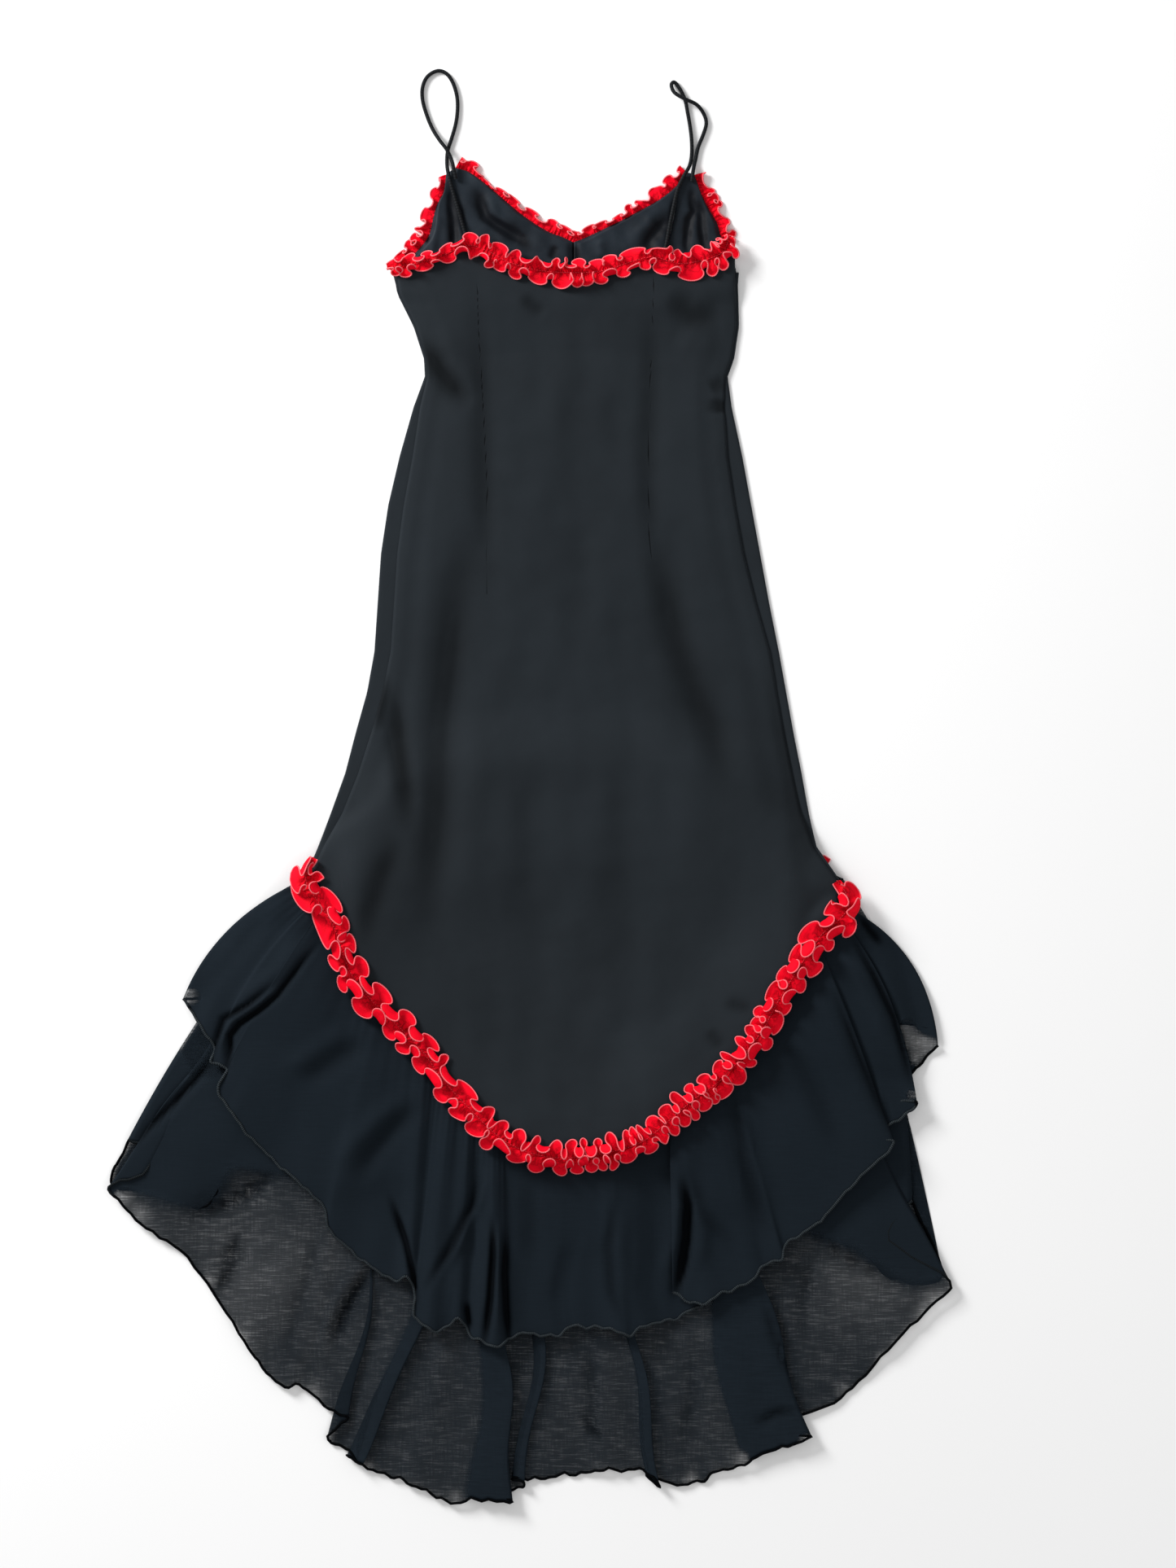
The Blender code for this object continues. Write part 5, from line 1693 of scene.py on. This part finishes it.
    def back(self, shop: Workshop) -> None:
        """Make the back, from its neckline to the hem seam, over everything under it."""
        part = np.linspace(0.0, 1.0, self.back_columns + 1)
        share = np.linspace(0.0, 1.0, self.back_rows + 1)[:, None]
        low_left, low_right = SECTIONS[-1].seam_left, SECTIONS[-1].seam_right
        top_left, top_right = SECTIONS[0].seam_left, SECTIONS[0].seam_right
        foot = seam_down(low_left + (low_right - low_left) * part)
        head = neck_down(top_left + (top_right - top_left) * part)
        down = head + (foot - head) * share
        left = section("seam_left", down)
        right = section("seam_right", down)
        across = left + (right - left) * part
        puff = SIDE_PUFF + (BODY_PUFF - SIDE_PUFF) * np.sqrt(np.sin(math.pi * part).clip(0))
        x, y = metres(across, down)
        uneven = (self.back_waves.at(x * 1.7, y * 0.55)
                  + self.back_ripples.at(x * 1.3, y * 0.7))
        pressed, steep = creased(across, down, BODY_CREASES)
        rise = puff - pressed + uneven * np.sin(math.pi * part).clip(0)
        close = shop.laid(across, down, CREPE, self.reach)
        inside = ease(np.minimum(part, 1 - part) / self.back_edge)
        bridged = shop.laid(across, down, CREPE, self.bridge_reach)
        bridged = close + (bridged - close) * inside
        height = np.maximum(bridged, close) + np.clip(rise, 0, None)
        sheet = points_at(across, down, height)
        shop.pile.add(sheet, CREPE / 2)
        dart = np.full(across.shape, 1.0)
        for path in DARTS.values():
            aside, along = path_reading(path, across, down)
            past = ease((along - self.dart_end) / (1 - self.dart_end))
            dart = np.minimum(dart, aside * STEP + 0.02 * past)
        piece = shop.cloth.shell(
            "back_panel_cloth", [sheet], CREPE, shop.finish(CREPE_BLACK),
            {"dart": [dart], "fold": [crease_shade_mark(steep, BODY_CREASE_SHADE_FULL)]})
        hand_over(piece, "black_crepe", "back_panel")


@dataclass
class Strap:
    """A thin tubular strap, looped as it fell."""

    side: Side
    per_stop: int = 6

    def make(self, shop: Workshop) -> None:
        """Make the strap."""
        route = smooth(STRAP_STOPS[self.side], self.per_stop)
        under = shop.pile.rest(route[:, 0], route[:, 1], 1)
        height = under + GAP + STRAP_RADIUS + route[:, 2] * MILLIMETRE
        path = points_at(route[:, 0], route[:, 1], height)
        shop.pile.add(np.stack([path, path + (0.0005, 0.0, 0.0)]), STRAP_RADIUS)
        name = f"strap_{self.side.name.lower()}"
        piece = shop.hem(f"{name}_cord", path, STRAP_RADIUS, STRAP_BLACK, 12)
        hand_over(piece, "black_strap", name)


@dataclass(frozen=True)
class Studio:
    """Pale floor, soft lights and the camera straight above the dress."""

    lens: float = 85.0
    sensor: float = 36.0
    frame_across: float = 722.5
    frame_down: float = 963.0
    frame_height: float = 1926.0
    cloth_level: float = 0.008
    floor_size: float = 14.0

    def floor(self) -> None:
        """Lay the floor."""
        half = self.floor_size / 2
        mesh = bpy.data.meshes.new("floor")
        mesh.from_pydata(
            [(-half, -half, 0), (half, -half, 0), (half, half, 0), (-half, half, 0)], [],
            [(0, 1, 2, 3)])
        material, _ = surface("pale_floor", {
            "Base Color": (0.96, 0.96, 0.96, 1.0), "Roughness": 0.9, "Specular IOR Level": 0.1})
        mesh.materials.append(material)
        floor = placed("floor", mesh)

    def light(self, name: str, place: tuple[float, float, float], size: float,
              power: float) -> None:
        """Hang a soft square light that faces the middle of the dress."""
        lamp = bpy.data.lights.new(name, "AREA")
        lamp.size = size
        lamp.energy = power
        hanging = placed(name, lamp)
        hanging.location = place
        x, y, z = place
        hanging.rotation_euler = (math.atan2(math.hypot(x, y), z), 0.0, math.atan2(x, -y))

    def sky(self, strength: float) -> None:
        """Fill the room with even light."""
        world = bpy.data.worlds.new("studio")
        world.use_nodes = True
        back = world.node_tree.nodes["Background"]
        back.inputs[0].default_value = (1.0, 1.0, 1.0, 1.0)
        back.inputs[1].default_value = strength
        bpy.context.scene.world = world

    def camera(self) -> None:
        """Set the camera."""
        data = bpy.data.cameras.new("camera")
        data.lens = self.lens
        data.sensor_width = self.sensor
        seen = self.frame_height * STEP
        camera = placed("camera", data)
        x, y = metres(self.frame_across, self.frame_down)
        camera.location = (
            float(x), float(y), self.cloth_level + seen * self.lens / self.sensor)
        bpy.context.scene.camera = camera

    def build(self) -> None:
        """Build the studio."""
        self.floor()
        self.sky(strength=0.52)
        self.light("key", (-2.6, 2.2, 1.7), size=1.2, power=185.0)
        self.light("fill", (1.9, -1.2, 2.6), size=2.2, power=10.0)
        self.camera()
        bpy.context.scene.view_settings.view_transform = "Standard"


def front_seam_route() -> tuple[Place, ...]:
    """Return the route of the front's hem ruffle."""
    across = np.linspace(SECTIONS[-1].left + 22, SECTIONS[-1].right - 22, 13)
    return tuple(Place(float(a), float(front_seam_down(a))) for a in across)


def inside_ends(route: Sequence[Place], clear: float) -> tuple[Place, ...]:
    """Return a route that starts and ends a little inside its ends."""
    line = smooth(route, 8)
    along = lengths_along(line)
    at = np.linspace(clear, along[-1] - clear, len(route) + 3)
    return tuple(
        Place(float(np.interp(a, along, line[:, 0])), float(np.interp(a, along, line[:, 1])))
        for a in at)


def main() -> None:
    """Lay the dress down, piece by piece, from the floor up."""
    logging.basicConfig(level=logging.INFO, format="%(message)s")
    Studio().build()
    shop = Workshop()
    floor = ("floor",)
    Ruffle("hem_ruffle_front", front_seam_route(), waves=22, half_width=0.0195, rise=0.0032,
           seed=13, cut=Cut(0.80, 0.040, 0.031, floor, Hold.GATHERED), per_wave=14).make(shop)
    Flounce("upper_flounce_front", UPPER_FRONT_TURNS, Bow(20, 0.16, 0, 0.16), front_seam_down,
            reach=2, cut=Cut(1.00, 0.22, 0.165, floor), per_turn=20, rows=40, seed=31).make(shop)
    Flounce("lower_flounce_front", LOWER_FRONT_TURNS, Bow(10, 0.16, 10, 0.16), front_seam_down,
            reach=2, cut=Cut(1.28, 0.40, 0.36, floor), per_turn=12, rows=56, seed=32).make(shop)
    bodice = Bodice(
        front_cut=Cut(0.66, 0.84, 0.40, ("floor", "lower_flounce_front")),
        lining_cut=Cut(0.21, 0.14, 0.018, ("front_panel",)),
        back_cut=Cut(0.64, 1.05, 0.47, ("front_panel", "lower_flounce_back")))
    bodice.front(shop)
    bodice.linings(shop)
    strips = (
        ("neck_ruffle_left", NECKS[Side.LEFT][::-1], 0.24, 8, 3,
         (0.8, 1.0, 1.15, 0.9, 0.7, 0.75, 0.35, 0.3, 0.9, 1.0)),
        ("armhole_ruffle_left", ARMHOLES[Side.LEFT], 0.24, 7, 5,
         (0.6, 0.8, 1.15, 1.25, 1.2, 1.0, 1.0)),
        ("neck_ruffle_right", NECKS[Side.RIGHT], 0.24, 8, 7,
         (0.8, 1.05, 1.15, 0.9, 0.85, 0.45, 0.6, 0.7, 0.8)),
        ("armhole_ruffle_right", ARMHOLES[Side.RIGHT][-2::-1], 0.18, 6, 11,
         (1.05, 1.1, 1.15, 1.3, 1.1, 0.9)),
    )
    for name, route, length, waves, seed, widths in strips:
        cut = Cut(length, EDGE_CUT_WIDTH, length * EDGE_CUT_FLAT, floor, Hold.GATHERED)
        EdgeRuffle(name, inside_ends(route, 0.6), waves, half_width=0.0150, rise=0.0055,
                   seed=seed, cut=cut, stitched=False, middle=0.78, swing=0.27, bulge=2.4,
                   curl=0.20, widths=widths).make(shop)
    Flounce("lower_flounce_back", LOWER_BACK_TURNS, Bow(12, 0.10, 24, 0.05), seam_down, reach=3,
            cut=Cut(2.20, 0.46, 0.65, ("floor", "lower_flounce_front")),
            creases=LOW_FLOUNCE_CREASES, rows=96, seed=33, sweep=-1.0, bends=8.0,
            lined_from=0.0009, lined_blur=9).make(shop)
    Flounce("upper_flounce_back", UPPER_BACK_TURNS, Bow(22, 0.16, 30, 0.16), seam_down, reach=3,
            cut=Cut(1.70, 0.26, 0.33, ("lower_flounce_back",)), creases=FLOUNCE_CREASES,
            per_turn=8, rows=84, seed=34, lined_from=0.0005, dense=1.0).make(shop)
    bodice.back(shop)
    for side in Side:
        Strap(side).make(shop)
    Ruffle("neck_ruffle_back", BACK_NECK[:-1] + NECK_RUFFLE_END, waves=21, half_width=0.0188,
           rise=0.0095, seed=17,
           cut=Cut(0.56, 0.040, 0.0215, ("back_panel", "lining_left", "lining_right"),
                   Hold.GATHERED),
           middle=0.62, swing=0.38, bulge=2.1, lean=1.7, curl=0.40, taper=12.0,
           paces=(1.0, 1.3, 1.2, 1.0, 1.1, 0.9, 0.9, 1.0, 1.0, 1.1, 1.4, 1.0, 0.6, 0.5),
           widths=(0.9, 0.8, 0.55, 0.75, 1.0, 0.9, 0.95, 1.0, 0.9, 0.9, 0.85, 0.95, 1.2, 1.1, 1.0),
           ).make(shop)
    Ruffle("hem_ruffle_back", HEM_RUFFLE_LEFT_END + HEM_SEAM[1:-1] + HEM_RUFFLE_RIGHT_END,
           waves=39, half_width=0.0212, rise=0.0100, seed=19,
           cut=Cut(1.45, 0.042, 0.060, ("back_panel", "upper_flounce_back"), Hold.GATHERED),
           taper=34.0, widths=(1.0, 1.0, 0.95, 1.05, 0.95, 1.0, 1.0, 0.9, 1.0, 0.95, 1.05, 1.1),
           paces=(1.4, 2.0, 1.8, 1.5, 1.2, 0.9, 0.8, 0.85, 0.9, 1.0, 1.0, 1.2, 1.8),
           ).make(shop)


if __name__ == "__main__":
    main()
